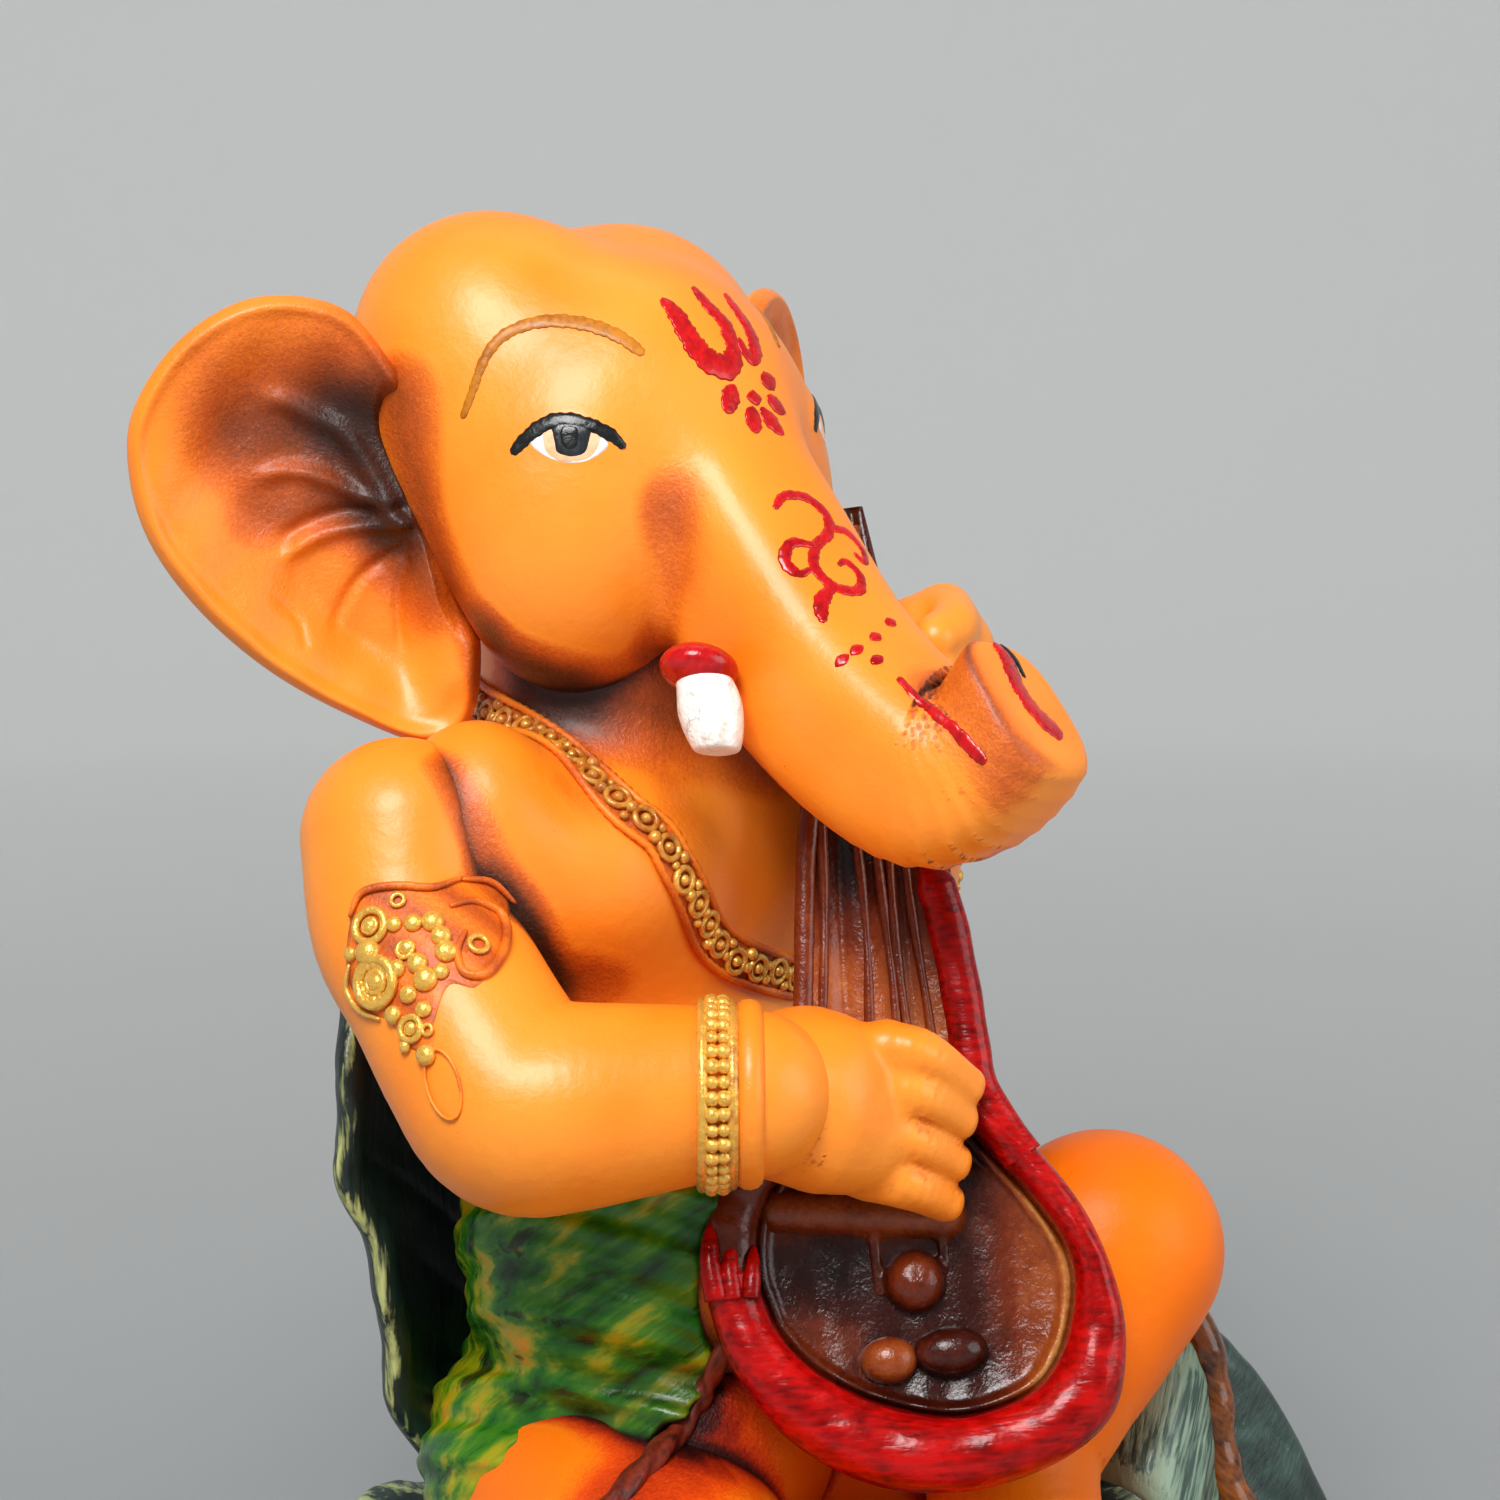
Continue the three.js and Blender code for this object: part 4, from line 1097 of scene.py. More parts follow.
def make_ears():
    """Both ears from one set of grids, each turned its own way and set in its root."""
    steps = 210
    flat, front, back, wash = ear_meshes(steps)
    for name, side in SIDES.items():
        grids = []
        root, outward, forward = EARS[name]
        for rise in (front, back):
            place = root + flat[..., :1] * outward + rise[..., None] * forward
            place = place + flat[..., 1:] * vec(0, 0, 1)
            grids.append(place * vec(side, 1, 1))
        rows = slice(None, None, side)       # a mirrored ear is listed the other way round
        # The front's brown wash and painted shade; the back gets none.
        front_wash_and_shade = wash.reshape(steps, steps)[rows].ravel()
        make_piece(f"{name}_ear_cupped", sheet(grids[0][rows], grids[1][rows]), SKIN, f"{name}_ear",
                   wash=np.concatenate([front_wash_and_shade, np.zeros(steps * steps)]))


make_ears()


# ------------------------------------------------------------------ painted face
def on_surface(shape, path):
    """Points moved to a shape's surface, with the normals there."""
    return snap(shape, np.asarray(path, dtype=float), rounds=4)


def evened(values):
    """A run of vectors smoothed by averaging each with its neighbours."""
    REACH = 4                # neighbours on each side
    padded = np.concatenate([values[:1].repeat(REACH, 0), values, values[-1:].repeat(REACH, 0)])
    return np.mean([padded[n:n + len(values)] for n in range(2 * REACH + 1)], axis=0)


BRUSH_STEP = 0.25        # mm between the stations of a brushed line


def brushed_line(shape, path, widths, thickness=0.22):
    """A brush stroke laid on a shape along a path in space."""
    widths = np.broadcast_to(np.asarray(widths, dtype=float), (len(path),))
    line = even_path(smooth_curve(np.column_stack([path, widths / 2]), 10), BRUSH_STEP)
    middle, normals = on_surface(shape, line[:, :3])
    middle, normals = evened(middle), unit(evened(evened(normals)))
    side = unit(np.cross(unit(np.gradient(middle, axis=0)), normals))
    run = np.arange(len(line)) * BRUSH_STEP
    half = line[:, 3] * (1 + 0.07 * np.sin(run * 2.3) + 0.05 * np.sin(run * 5.7))
    for end in (run, run[-1] - run):
        half = half * np.sqrt(np.clip(1 - (1 - np.clip(end / half, 0, 1)) ** 2, 0.001, 1))
    columns = ((1, -0.2), (0.8, 0.6), (0.3, 1), (-0.3, 1), (-0.8, 0.6), (-1, -0.2),
               (-0.5, -3), (0.5, -3))
    rings = [middle + side * (across * half)[:, None] + normals * rise * thickness
             for across, rise in columns]
    points, faces = loft(np.stack(rings, axis=1))
    return points, faces[:, ::-1]


def paint(name, material, *strokes):
    """A piece of raised paint from one or more strokes."""
    cluster = Cluster()
    for mesh in strokes:
        cluster.add(mesh)
    cluster.piece(name, material)


LASH = [(-8.2, -1.6), (-6.1, 0.7), (-3.4, 2.6), (-0.6, 3.2), (2.8, 2.5), (5.6, 1.2), (7.6, -0.7)]
EYEBROW = [(-15.9, 3.1), (-14.5, 6.9), (-12.9, 11.4), (-10.6, 14.5), (-7.2, 16.2),
           (-3.1, 16.8), (1.8, 16.2), (6.1, 14.6), (9.6, 12.2)]
EYEWHITE = [(-5.6, 0.2), (-3.6, -1.6), (-0.2, -2.7), (3, -2.2), (5.4, -0.2), (3, 1.6),
            (-0.4, 2.2), (-3.4, 1.5)]
EYE_PEACH = [(-4.0, 1.0), (-3.4, -1.3), (-0.6, -2.6), (2.9, -2.1), (4.6, 0.2), (3, 1.8),
             (-0.4, 2.3), (-3.0, 1.9)]
EYE_IRIS = [(-2.5, 2.4), (-2.3, -0.2), (-1.8, -1.5), (0.3, -2.1), (2.3, -1.6), (3.0, -0.2),
            (3.0, 2.0), (0.3, 3.0)]
EYE_PUPIL = [(-1.2, 2.4), (-1.3, 0.2), (-0.3, -1.1), (1.1, -0.8), (1.5, 0.8), (1.1, 2.4)]

for name, side in SIDES.items():
    flip = vec(-side, 1)
    drawing = Drawing(face_shape, mirrored(EYE, side), mirrored(EYE_FACES, side))
    blots = [("eye_white", EYEWHITE, 0.5, WHITE),
             ("eye_peach_ring", EYE_PEACH, 0.9, PEACH),
             ("eye_iris", EYE_IRIS, 1.3, IRIS),
             ("eye_pupil", EYE_PUPIL, 1.7, BLACK)]
    for kind, outline, lift, material in blots:
        mesh = drawing.blot(np.array(outline) * flip, lift)
        paint(f"{name}_{kind}", material, mesh)
    paint(f"{name}_lash_line", BLACK,
          drawing.stroke(np.array(LASH) * flip, [1.5, 2.0, 2.3, 2.2, 2.0, 1.8, 1.0], 0.4))
    paint(f"{name}_eyebrow", BROW,
          drawing.stroke(np.array(EYEBROW) * flip,
                         [1.1, 1.3, 1.5, 1.7, 1.8, 1.9, 1.9, 1.8, 1.4]))

brow_drawing = Drawing(face_shape, (0, -30, 207), (0, -0.75, 0.66))
FOREHEAD_MARK = [
    ([(-6.4, 23.4), (-6.0, 20.6), (-6.1, 16.8), (-5.5, 13.4), (-3.9, 11.2), (-1.6, 10.6),
      (0.3, 12.2), (0.8, 14.4), (-0.2, 16.2)], [1.0, 2.0, 2.4, 2.8, 3.0, 2.8, 2.2, 1.6, 0.8]),
    ([(0.6, 25), (0.5, 21), (1.5, 17.4), (1.1, 14.6), (0.2, 12.6)], [0.9, 1.8, 2.0, 1.8, 1.4]),
    ([(6.6, 23.8), (6.2, 20.4), (6.4, 16.6), (5.6, 13.4), (4, 11.6), (2.9, 12.8),
      (2.8, 15)], [0.9, 1.7, 1.9, 1.9, 1.7, 1.4, 0.7]),
]
PETALS = [((5.6, 8.2), 0.3, 2.4), ((-3.4, 5.8), 0.9, 3.4), ((-0.6, 2.3), 1.2, 3.0),
          ((5.4, 4.6), -0.7, 2.6), ((2.9, 1.9), -1.1, 3.4), ((1.2, 5.6), 1.5, 1.6)]
VINE = [([(-5.6, -12.4), (-2.6, -10.6), (1.4, -11.4), (3.2, -14.6), (1.4, -17.6),
          (-2.2, -19.4), (-4.6, -22.6), (-3.4, -26.4), (0.4, -27.6), (2.6, -25.2),
          (1.6, -22.6), (-0.4, -23)],
         [0.7, 1.1, 1.3, 1.4, 1.3, 1.2, 1.3, 1.4, 1.3, 1.1, 0.9, 0.6]),
        ([(-2.4, -19.4), (-6, -18.2), (-8.2, -20.4), (-7.4, -23), (-5.4, -22.8)],
         [0.9, 1.2, 1.2, 1.0, 0.6]),
        ([(2.4, -16.8), (5.6, -17.6), (7, -20.6), (5.4, -22.8), (4.2, -21.2)],
         [0.9, 1.2, 1.1, 0.9, 0.6]),
        ([(-3.6, -26.2), (-6.8, -28.2), (-8.4, -31.4)], [1.0, 1.6, 0.7])]
TRUNK_DOTS = [(-9.6, -54.9, 178.5), (-7.2, -55.4, 179.6), (-3.1, -55.1, 181),
              (1.8, -53.4, 182.4), (-5.9, -58, 178.4)]
TRUNK_STRIPE = [(-5.4, -61.3, 176.5), (-5.7, -65.7, 173.8), (-5.9, -70.5, 171.4),
                (-5.6, -74.4, 168.8), (-5.2, -77.6, 166.4)]


MARK_FULLNESS = 1.45     # the wet paint spread wider than the brush


def face_marks():
    """The red forehead marks and vine, the petals between them, and the dots and the stripe
    down the trunk."""
    marks = [brow_drawing.stroke(path, np.array(widths) * MARK_FULLNESS)
             for path, widths in FOREHEAD_MARK + VINE]
    for (x, y), lean, length in PETALS:
        reach = vec(math.cos(lean), math.sin(lean)) * length * 0.75
        marks.append(brow_drawing.stroke([vec(x, y) - reach, vec(x, y), vec(x, y) + reach],
                                         [1.6, 3.2, 1.8]))
    for dot in TRUNK_DOTS:
        reach = vec(-0.3, 0.8, 0.7)
        marks.append(brushed_line(face_shape, [dot + reach, vec(*dot), dot - reach],
                                  [1.3, 2.5, 1.5]))
    marks.append(brushed_line(face_shape, TRUNK_STRIPE, [1.2, 1.5, 1.7, 2.1, 1.6]))
    return marks


paint("red_face_marks", RED, *face_marks())

TIP_BAND = [(5.9, -68.4, 180.9), (6.7, -70.4, 178.5), (5.2, -73.6, 175.6), (5.5, -76.3, 172.3),
            (7.4, -77.9, 170), (9.4, -78.3, 168.7)]
TIP_SHADOW = [(7.7, -68.2, 180.6), (8.9, -70, 178.3), (8.4, -72.4, 175.8)]
paint("red_trunk_tip", RED,
      brushed_line(face_shape, TIP_BAND, [2.2, 3.6, 3.8, 4.2, 4.4, 3.2], 0.3))
# Painted shadow: a black stroke along the edge of the trunk's tip.
paint("painted_shadow_trunk_tip_edge", BLACK,
      brushed_line(face_shape, TIP_SHADOW, [1.0, 1.6, 0.9], 0.2))


# ------------------------------------------------------------------ gold ornaments
def band_strip(shape, path, width, rise):
    """A flat raised strip that hugs a shape along a path."""
    middle, normals = on_surface(shape, path)
    ahead = unit(np.gradient(middle, axis=0))
    side = np.cross(ahead, normals)
    columns = ((1, -0.4), (0.96, 0.5), (0.7, 0.8), (0, 1), (-0.7, 0.8), (-0.96, 0.5),
               (-1, -0.4), (0, -1))
    rings = []
    for across, up in columns:
        spots, out = on_surface(shape, middle + side * across * width / 2)
        rings.append(spots + out * up * rise)
    points, faces = loft(np.stack(rings, axis=1))
    return points, faces[:, ::-1]


def skin_castings(name, meshes, wash):
    """Castings painted the colour of the skin, with an even brown wash."""
    points = np.concatenate([mesh[0] for mesh in meshes])
    starts = np.cumsum([0] + [len(mesh[0]) for mesh in meshes])
    faces = np.concatenate([mesh[1] + start for mesh, start in zip(meshes, starts)])
    uneven = 0.12 * np.sin(points[:, 0] * 0.9 + points[:, 2] * 0.7)
    make_piece(name, (points, faces), SKIN, wash=wash + uneven)


def necklace():
    """Links and beads in a row on a strap between two cords, round the neck and the chest."""
    cluster = Cluster()
    path = [(14.7, -22.4, 124), (20, -22, 136), (21, -25, 150), (21, -10, 161), (16, 12, 166),
            (0, 24, 164), (-16, 12, 166), (-21, -3, 163), (-21.6, -13, 159.5),
            (-20.9, -23, 155), (-17.5, -26.6, 151), (-15.7, -28.2, 146.8), (-11.9, -28, 141),
            (-8, -26.4, 136), (-3, -25.4, 131.8), (3, -25, 128.6), (14.7, -22.4, 124)]
    line, out = on_surface(torso_shape, even_path(smooth_curve(path, 12), 0.7))
    skin_castings("necklace_strap", [band_strip(torso_shape, line[::2], 6.4, 0.6)], 0.42)
    side = unit(np.cross(unit(np.gradient(line, axis=0)), out))
    cords = []
    for across in (-2.9, 2.9):
        cord, cord_out = on_surface(torso_shape, line + side * across)
        cords.append(rope(cord + cord_out * 0.6, 0.6, up=cord_out, twist=(2, 1.6, 0.16)))
    skin_castings("necklace_cords", cords, 0.25)
    stations = even_path(line, 2.5)
    spots, faces_out = on_surface(torso_shape, stations)
    across = unit(np.cross(unit(np.gradient(spots, axis=0)), faces_out))
    for n, (spot, normal, way) in enumerate(zip(spots[:-1], faces_out, across)):
        lean = 0.5 * math.sin(n * 2.4)
        worn = 0.03 + 0.45 * float(ease(spot[2], 141, 151))     # browner near the shoulders
        if n % 2 == 0:
            centre = spot + normal * 0.9 + way * lean
            cluster.add(ring(centre, normal, 1.75, 0.5), worn)
            cluster.add(bead(centre, normal, 0.85), worn)
        else:
            for step in (-1.1, 1.0):
                centre = spot + normal * 0.85 + way * (step + lean)
                size = 0.85 + 0.16 * math.sin(n * 1.7 + step)
                cluster.add(bead(centre, normal, size), worn)
    return cluster


necklace().piece("necklace_of_links", GOLD, "necklace")


def bracelet(shape, centre, axis, reach, name):
    """Rows of beads round a wrist, with a plain band beside them."""
    right, up, along = axes(axis, (0, 0.2, 1)).T
    turns = np.linspace(0, 2 * math.pi, 72, endpoint=False)
    spokes = np.cos(turns)[:, None] * right + np.sin(turns)[:, None] * up

    def around(shift):
        hits = drop(shape, vec(*centre) + along * shift + spokes * reach, -spokes)
        return hits, unit(gradient(shape, hits))

    cluster = Cluster()
    for shift, size, value in ((-2.0, 0.8, 0.25), (2.1, 0.9, 0.35)):
        line, out = around(shift)
        line, out = np.vstack([line, line[:1]]), np.vstack([out, out[:1]])
        cluster.add(rope(line + out * size * 0.5, size, up=out), value)
    rows = [around(shift) for shift in (-0.75, 0.85)]
    for row, (line, out) in enumerate(rows):
        spots = even_path(np.vstack([line, line[:1]]), 2.05)
        spots, normals = on_surface(shape, spots)
        for n, (spot, normal) in enumerate(zip(spots[:-1], normals)):
            swell = 1.05 + 0.12 * math.sin(n * 2.1 + row)
            cluster.add(bead(spot + normal * 0.75, normal, swell), 0.0)
    cluster.piece(name + "_beads", GOLD, name)
    line, out = around(4.6)
    band = rope(np.vstack([line, line[:1]]), 1.9, columns=12, up=np.vstack([out, out[:1]]),
                flat=0.8)
    make_piece(name + "_beads_cuff", band, SKIN, wash=0.05)


bracelet(right_arm_shape, (-26, -47, 119), (28, -27, 0), 24, "right_bracelet")
bracelet(left_arm_shape, (45, -14.5, 147), (-9, -21, 44), 22, "left_bracelet")


ARMLET_PLATE = [(-6, 8), (-4.4, 12.6), (-0.6, 14.6), (5, 14.2), (9, 15.2), (13.4, 14),
                (15.6, 10), (15, 5), (12.4, 1.6), (8.8, 1.8), (7, -3), (6.8, -6.6),
                (3.2, -6.4), (0.6, -3.4), (-3.4, -2.2), (-6, 1.6)]
ARMLET_RINGS = [(-2.5, 8.8, 2.3, 0.6), (-2.5, 8.8, 1.0, 0.4), (1, 12.2, 0.9, 0.32),
                (-1.3, 1.6, 3.2, 0.75), (-1.3, 1.6, 1.5, 0.5), (4, -4, 1.6, 0.5),
                (6.3, -4, 0.7, 0.3), (12.2, 6.6, 1.3, 0.42), (2.6, 6, 1.1, 0.4)]
ARMLET_BEADS = [(-2.5, 8.8, 0.8), (-2.6, 5.4, 1.3), (-1.3, 1.6, 0.9), (2.9, 6.3, 0.8),
                (6, 9.6, 1.1), (7.3, 7.8, 1.0), (8.1, 5.9, 1.1), (5.6, 2.4, 1.2),
                (4.4, 4.4, 1.0), (1.6, 3.6, 0.9), (3.4, 0.4, 0.9), (1.4, -2.4, 0.9),
                (4, -4, 0.7), (6.2, -7.2, 1.0), (7.6, 3.4, 0.8), (0.8, 9.2, 0.8),
                (3.4, 9.4, 0.9), (-5.2, 5, 0.7), (5.6, -1.4, 0.8), (3.2, -6.4, 0.6)]
ARMLET_SCROLLS = [
    ([(-5.6, 9.8), (-4, 13.2), (0.6, 14.2), (5.4, 13.8), (9, 14.8)], 1.1, 0.6),
    ([(8, 11.4), (11, 11.8), (14.6, 9.8), (15.6, 6.4), (13.8, 3.2), (10.8, 3.2),
      (9.6, 5.8), (10.4, 8.4)], 1.3, 0.7),
    ([(9, 14.6), (13, 14), (16, 11)], 0.9, 0.6),
    ([(-5.4, 3.6), (-5.8, 0.2), (-3.8, -2.4), (-0.6, -3.2)], 0.8, 0.1),
]


def armlet(name, side):
    """A cast ornament on the upper arm: rosettes, scrolls and beads over a worn band."""
    shape = blend(2.5, right_arm_shape if side < 0 else left_arm_shape, torso_shape)
    middle = (-60, -18, 134) if side < 0 else (61, -8, 133)
    drawing = Drawing(shape, middle, (side * 0.72, -0.68, 0.1))
    flip = vec(-side, 1)

    def spots(places, rise):
        flat = np.array(places, dtype=float)[:, :2] * flip
        landed = drawing.press(flat, np.full(len(flat), rise))
        return landed, unit(gradient(shape, landed))

    cluster = Cluster()
    backing = [drawing.blot(np.array(ARMLET_PLATE) * flip, 1.2, steps=44)]
    for (*_, radius, wire), centre, out in zip(ARMLET_RINGS, *spots(ARMLET_RINGS, 0.6)):
        cluster.add(ring(centre, out, radius, wire), 0.02)
    petals = [(-1.3 + 2.4 * math.cos(n * 0.42), 1.6 + 2.4 * math.sin(n * 0.42), 0.58)
              for n in range(15)]                      # round the large rosette
    for (*_, size), centre, out in zip(ARMLET_BEADS + petals,
                                       *spots(ARMLET_BEADS + petals, 0.5)):
        cluster.add(bead(centre, out, size * 1.5, 0.75), 0.02)
    for path, wide, value in ARMLET_SCROLLS:
        line, out = spots(smooth_curve(path, 8), 0.5)
        taper = np.sin(np.linspace(0.15, math.pi - 0.15, len(line))) ** 0.5
        mesh = rope(line, wide * taper / 2 + 0.05, up=out)
        if value < 0.5:
            cluster.add(mesh, value)
        else:
            backing.append(mesh)
    cluster.piece(name + "_casting", GOLD, name)
    skin_castings(name + "_scrolls", backing, 0.3)
    (centre,), (out,) = spots([(8.5, -10.8)], 0.15)
    drop_mesh = ring(centre, out, 2.8, 0.24, stretch=(0.9, 1.75), turn=-0.3 * side)
    skin_castings(name + "_drop", [drop_mesh], 0.12)


for name, side in SIDES.items():
    armlet(f"{name}_armlet", side)


# ------------------------------------------------------------------ hem rope
HEM_PATH = [(-14, -43, 85), (-18.4, -40.6, 78.5), (-20, -38, 72), (-24, -37.4, 67.5),
            (-31, -39.4, 65.8), (-38, -41, 63.6), (-44, -41.4, 60.5), (-47.5, -39, 56)]
hem_line = even_path(smooth_curve(HEM_PATH, 10), 0.4)
hem_radius = np.interp(np.linspace(0, 1, len(hem_line)), [0, 0.1, 0.5, 0.9, 1],
                       [1.0, 1.4, 1.7, 1.6, 0.9])
hem_mesh = rope(hem_line, hem_radius, columns=24, twist=(3, 8, 0.14))
make_piece("twisted_sash_hem", hem_mesh, HEM, "sash_hem")


# ------------------------------------------------------------------ lute
BOWL_DEPTH, BOARD_DEPTH = 22.0, 4.0
# The rim's outer and inner edges from the right of the neck, round the bottom, to the left.
RIM_OUTER = [(9.6, 36), (12.6, 28.7), (19.8, 21.8), (26, 12.1), (29.3, 1.4), (29.5, -7),
             (27, -15.1), (20.2, -20.6), (10.1, -23.9), (0.3, -24.2), (-9.2, -21.8),
             (-18.5, -15.6), (-25.5, -6), (-28.5, 4.2), (-28.6, 9)]
RIM_INNER = [(7.4, 33), (11.4, 24.7), (17.4, 16.8), (22.2, 8.9), (23, 1.8), (20.6, -6.3),
             (15.4, -11.9), (5.3, -14.4), (-5.6, -11.8), (-13.7, -7), (-18.8, -1.2),
             (-20.8, 4), (-21.6, 8)]
SHOULDER_OUTER = [(-28.6, 6), (-27.6, 17), (-22, 26), (-15.5, 32), (-13, 38)]
SHOULDER_INNER = [(-21.6, 5), (-20.6, 15), (-16.5, 22), (-12.5, 28), (-11, 34)]
RIM_PROFILE = [(0.05, -3.2), (-0.03, -1.2), (0.02, 1.2), (0.15, 2.8), (0.36, 3.5),
               (0.6, 3.4), (0.8, 2.5), (0.95, 1.0), (1.03, -2.6), (0.5, -3.2)]


def rim_strip(outer_path, inner_path, count, height=1.0):
    """The raised rim between two edges, its top rounded and a little uneven."""
    outer, inner = resampled(outer_path, count), resampled(inner_path, count)
    run = np.linspace(0, 1, count)
    wave = height * (1 + 0.06 * np.sin(run * 31) + 0.04 * np.sin(run * 77 + 1))
    rings = []
    for across, rise in RIM_PROFILE:
        flat = outer + (inner - outer) * across
        rings.append(np.column_stack([flat, rise * wave if rise > 0 else rise * np.ones(count)]))
    rings = np.stack(rings, axis=1)
    for end in (0, -1):
        middle = rings[end].mean(0)
        rings[end] = middle + (rings[end] - middle) * 0.5
    points, faces = loft(rings)
    return on_lute(points), faces


make_piece("lute_red_rim", rim_strip(RIM_OUTER, RIM_INNER, 180), RED_RIM, "lute_rim")
make_piece("lute_brown_shoulder", rim_strip(SHOULDER_OUTER, SHOULDER_INNER, 50, 0.75),
           LUTE, shade=0.5)
# The red paint on the rim runs out in separate strokes of the brush.
BRUSH_ENDS = [([(-27.4, 4), (-28, 10), (-27.2, 15.5)], 1.7),
              ([(-25.2, 4), (-25.2, 9), (-24.2, 12.5)], 1.5),
              ([(-22.6, 4), (-22, 8), (-21.6, 11.4)], 1.3)]
brush_ends = Cluster()
for path, wide in BRUSH_ENDS:
    line = resampled(path, 24)
    taper = np.sqrt(np.clip(1 - np.linspace(0, 1, 24) ** 2, 0.01, 1))
    line = on_lute(np.column_stack([line, 2.4 * taper + 0.5]))
    brush_ends.add(rope(line, wide * taper, columns=12, up=LUTE_OUT, flat=0.7))
brush_ends.piece("lute_red_brush_ends", RED_RIM)


def make_board():
    """The sunken soundboard, with a pale painted highlight under the rim on one side."""
    ROWS, COLUMNS = 90, 70
    edge = resampled(RIM_INNER + SHOULDER_INNER[1:], 2 * ROWS)
    edge = vec(0, 4) + (edge - vec(0, 4)) * 1.04
    right, left = edge[:ROWS], edge[:ROWS - 1:-1]
    across = np.linspace(0, 1, COLUMNS)[None, :, None]
    flat = right[:, None] * (1 - across) + left[:, None] * across
    inward = polyline_distance(flat.reshape(-1, 2), edge).reshape(flat.shape[:2])
    sag = -0.9 * ease(inward, 0, 9) + 1.3 * bump(inward - 1.8, 0.8)
    x, y = flat[..., 0], flat[..., 1]
    grain = 0.12 * np.sin(x * 1.1 + 0.4 * np.sin(y * 0.3))
    top = np.dstack([flat, -BOARD_DEPTH + sag + grain])
    bottom = np.dstack([flat, np.full(sag.shape, -BOARD_DEPTH - 2.4)])
    # Painted light and shade: lighter to one side, a highlight under its rim, darker patches.
    shade = (0.26 + 0.5 * ease(x, 7, 20) + 0.4 * bump(inward - 1.6, 0.45) * ease(x, 8, 16)
             + 0.3 * bump(np.hypot(x + 13, y + 1), 7) + 0.25 * ease(y, 9, 14) * (1 - ease(x, 2, 9))
             - 0.25 * bump(np.hypot(x + 10, y - 6), 6) - 0.2 * ease(y, 14, 24) * ease(x, 0, 10))
    points, faces = sheet(on_lute(top), on_lute(bottom))
    return points, faces[:, ::-1], np.tile(shade.ravel(), 2)


points, faces, shade = make_board()
make_piece("lute_sunken_board", (points, faces), LUTE, "lute_soundboard", shade=shade)


def make_bowl():
    """The rounded back, which reaches inside the rim so that it closes below the board."""
    COUNT = 120
    edge = resampled(RIM_OUTER + SHOULDER_OUTER[1:], COUNT)
    middle = vec(0, 4)
    rings = [np.column_stack([middle + (edge - middle) * size, np.full(COUNT, z)])
             for size, z in ((0.6, -9), (0.88, -8.6), (0.96, -3.4))]
    for bend in np.linspace(0, math.pi / 2, 16)[:-1]:
        shrunk = middle + (edge - middle) * 0.99 * math.cos(bend) ** 0.7
        rings.append(np.column_stack([shrunk, np.full(COUNT, -2.8 - BOWL_DEPTH
                                                      * math.sin(bend))]))
    points, faces = loft(rings)
    return on_lute(points), faces


make_piece("lute_brown_bowl", make_bowl(), LUTE, "lute_bowl", shade=0.34)


def lute_egg(x, y, z, radii):
    """An egg placed and turned with the lute."""
    return egg(on_lute([x, y, z]), radii, LUTE_AXES.T)


bridge_shape = blend(
    1.2,
    carve(0.8, lute_egg(1, 5, -4.8, (4.4, 4.6, 4)), lute_egg(1.5, 6.5, 0.6, (2.5, 2.2, 1.6))),
    blend(0.6, *[stretch((*on_lute([-18 + 4 * n, 16.5 - 0.4 * n, -5.4]), 3.4),
                         (*on_lute([-14 + 4 * n, 16.1 - 0.4 * n, -5.4]), 3.4))
                 for n in range(6)]),
    stretch((*on_lute([-4.4, 14, -5]), 1.0), (*on_lute([-4.2, 4, -5.4]), 0.9)),
    stretch((*on_lute([5.4, 12, -5]), 1.1), (*on_lute([5.6, 6.5, -5.6]), 0.8)),
)
LUTE_STUDS = [("lute_bridge_stud", bridge_shape, "lute_bridge", 0.34, 16),
              ("lute_tail_bean_right", lute_egg(-3.6, -5.8, -4.4, (4.2, 3.4, 3.2)),
               "lute_tailpiece_left", 0.55, 6),
              ("lute_tail_bean_left", lute_egg(5.2, -5.2, -4.2, (5.4, 3.6, 3.6)),
               "lute_tailpiece_right", 0.12, 8)]
for name, shape, node_name, shade, reach in LUTE_STUDS:
    middle = on_lute([-2, 6, -5]) if reach > 10 else on_lute([1, -5.5, -5])
    region = (middle - reach - 8, middle + reach + 8)
    points, quads, normals = sculpt(shape, region, FINE * 0.8)
    rise, along = (points - LUTE_MIDDLE) @ LUTE_OUT, (points - LUTE_MIDDLE) @ LUTE_UP
    shade = shade + 0.2 * ease(rise, -4, -1.5) + 0.25 * ease(along, 9.5, 12)
    make_piece(name, (points, quads), LUTE, node_name, shade=shade)

NECK_START, NECK_END, NECK_HALF, NECK_TIP = 34.0, 118.5, 13.2, 2.4
STRING_PLACES = (-0.74, -0.22, 0.06, 0.44, 0.2)


def neck_half(y):
    """Half the width of the lute's neck at a height."""
    return np.interp(y, [NECK_START, 68, NECK_END], [NECK_HALF, 10.4, NECK_TIP])


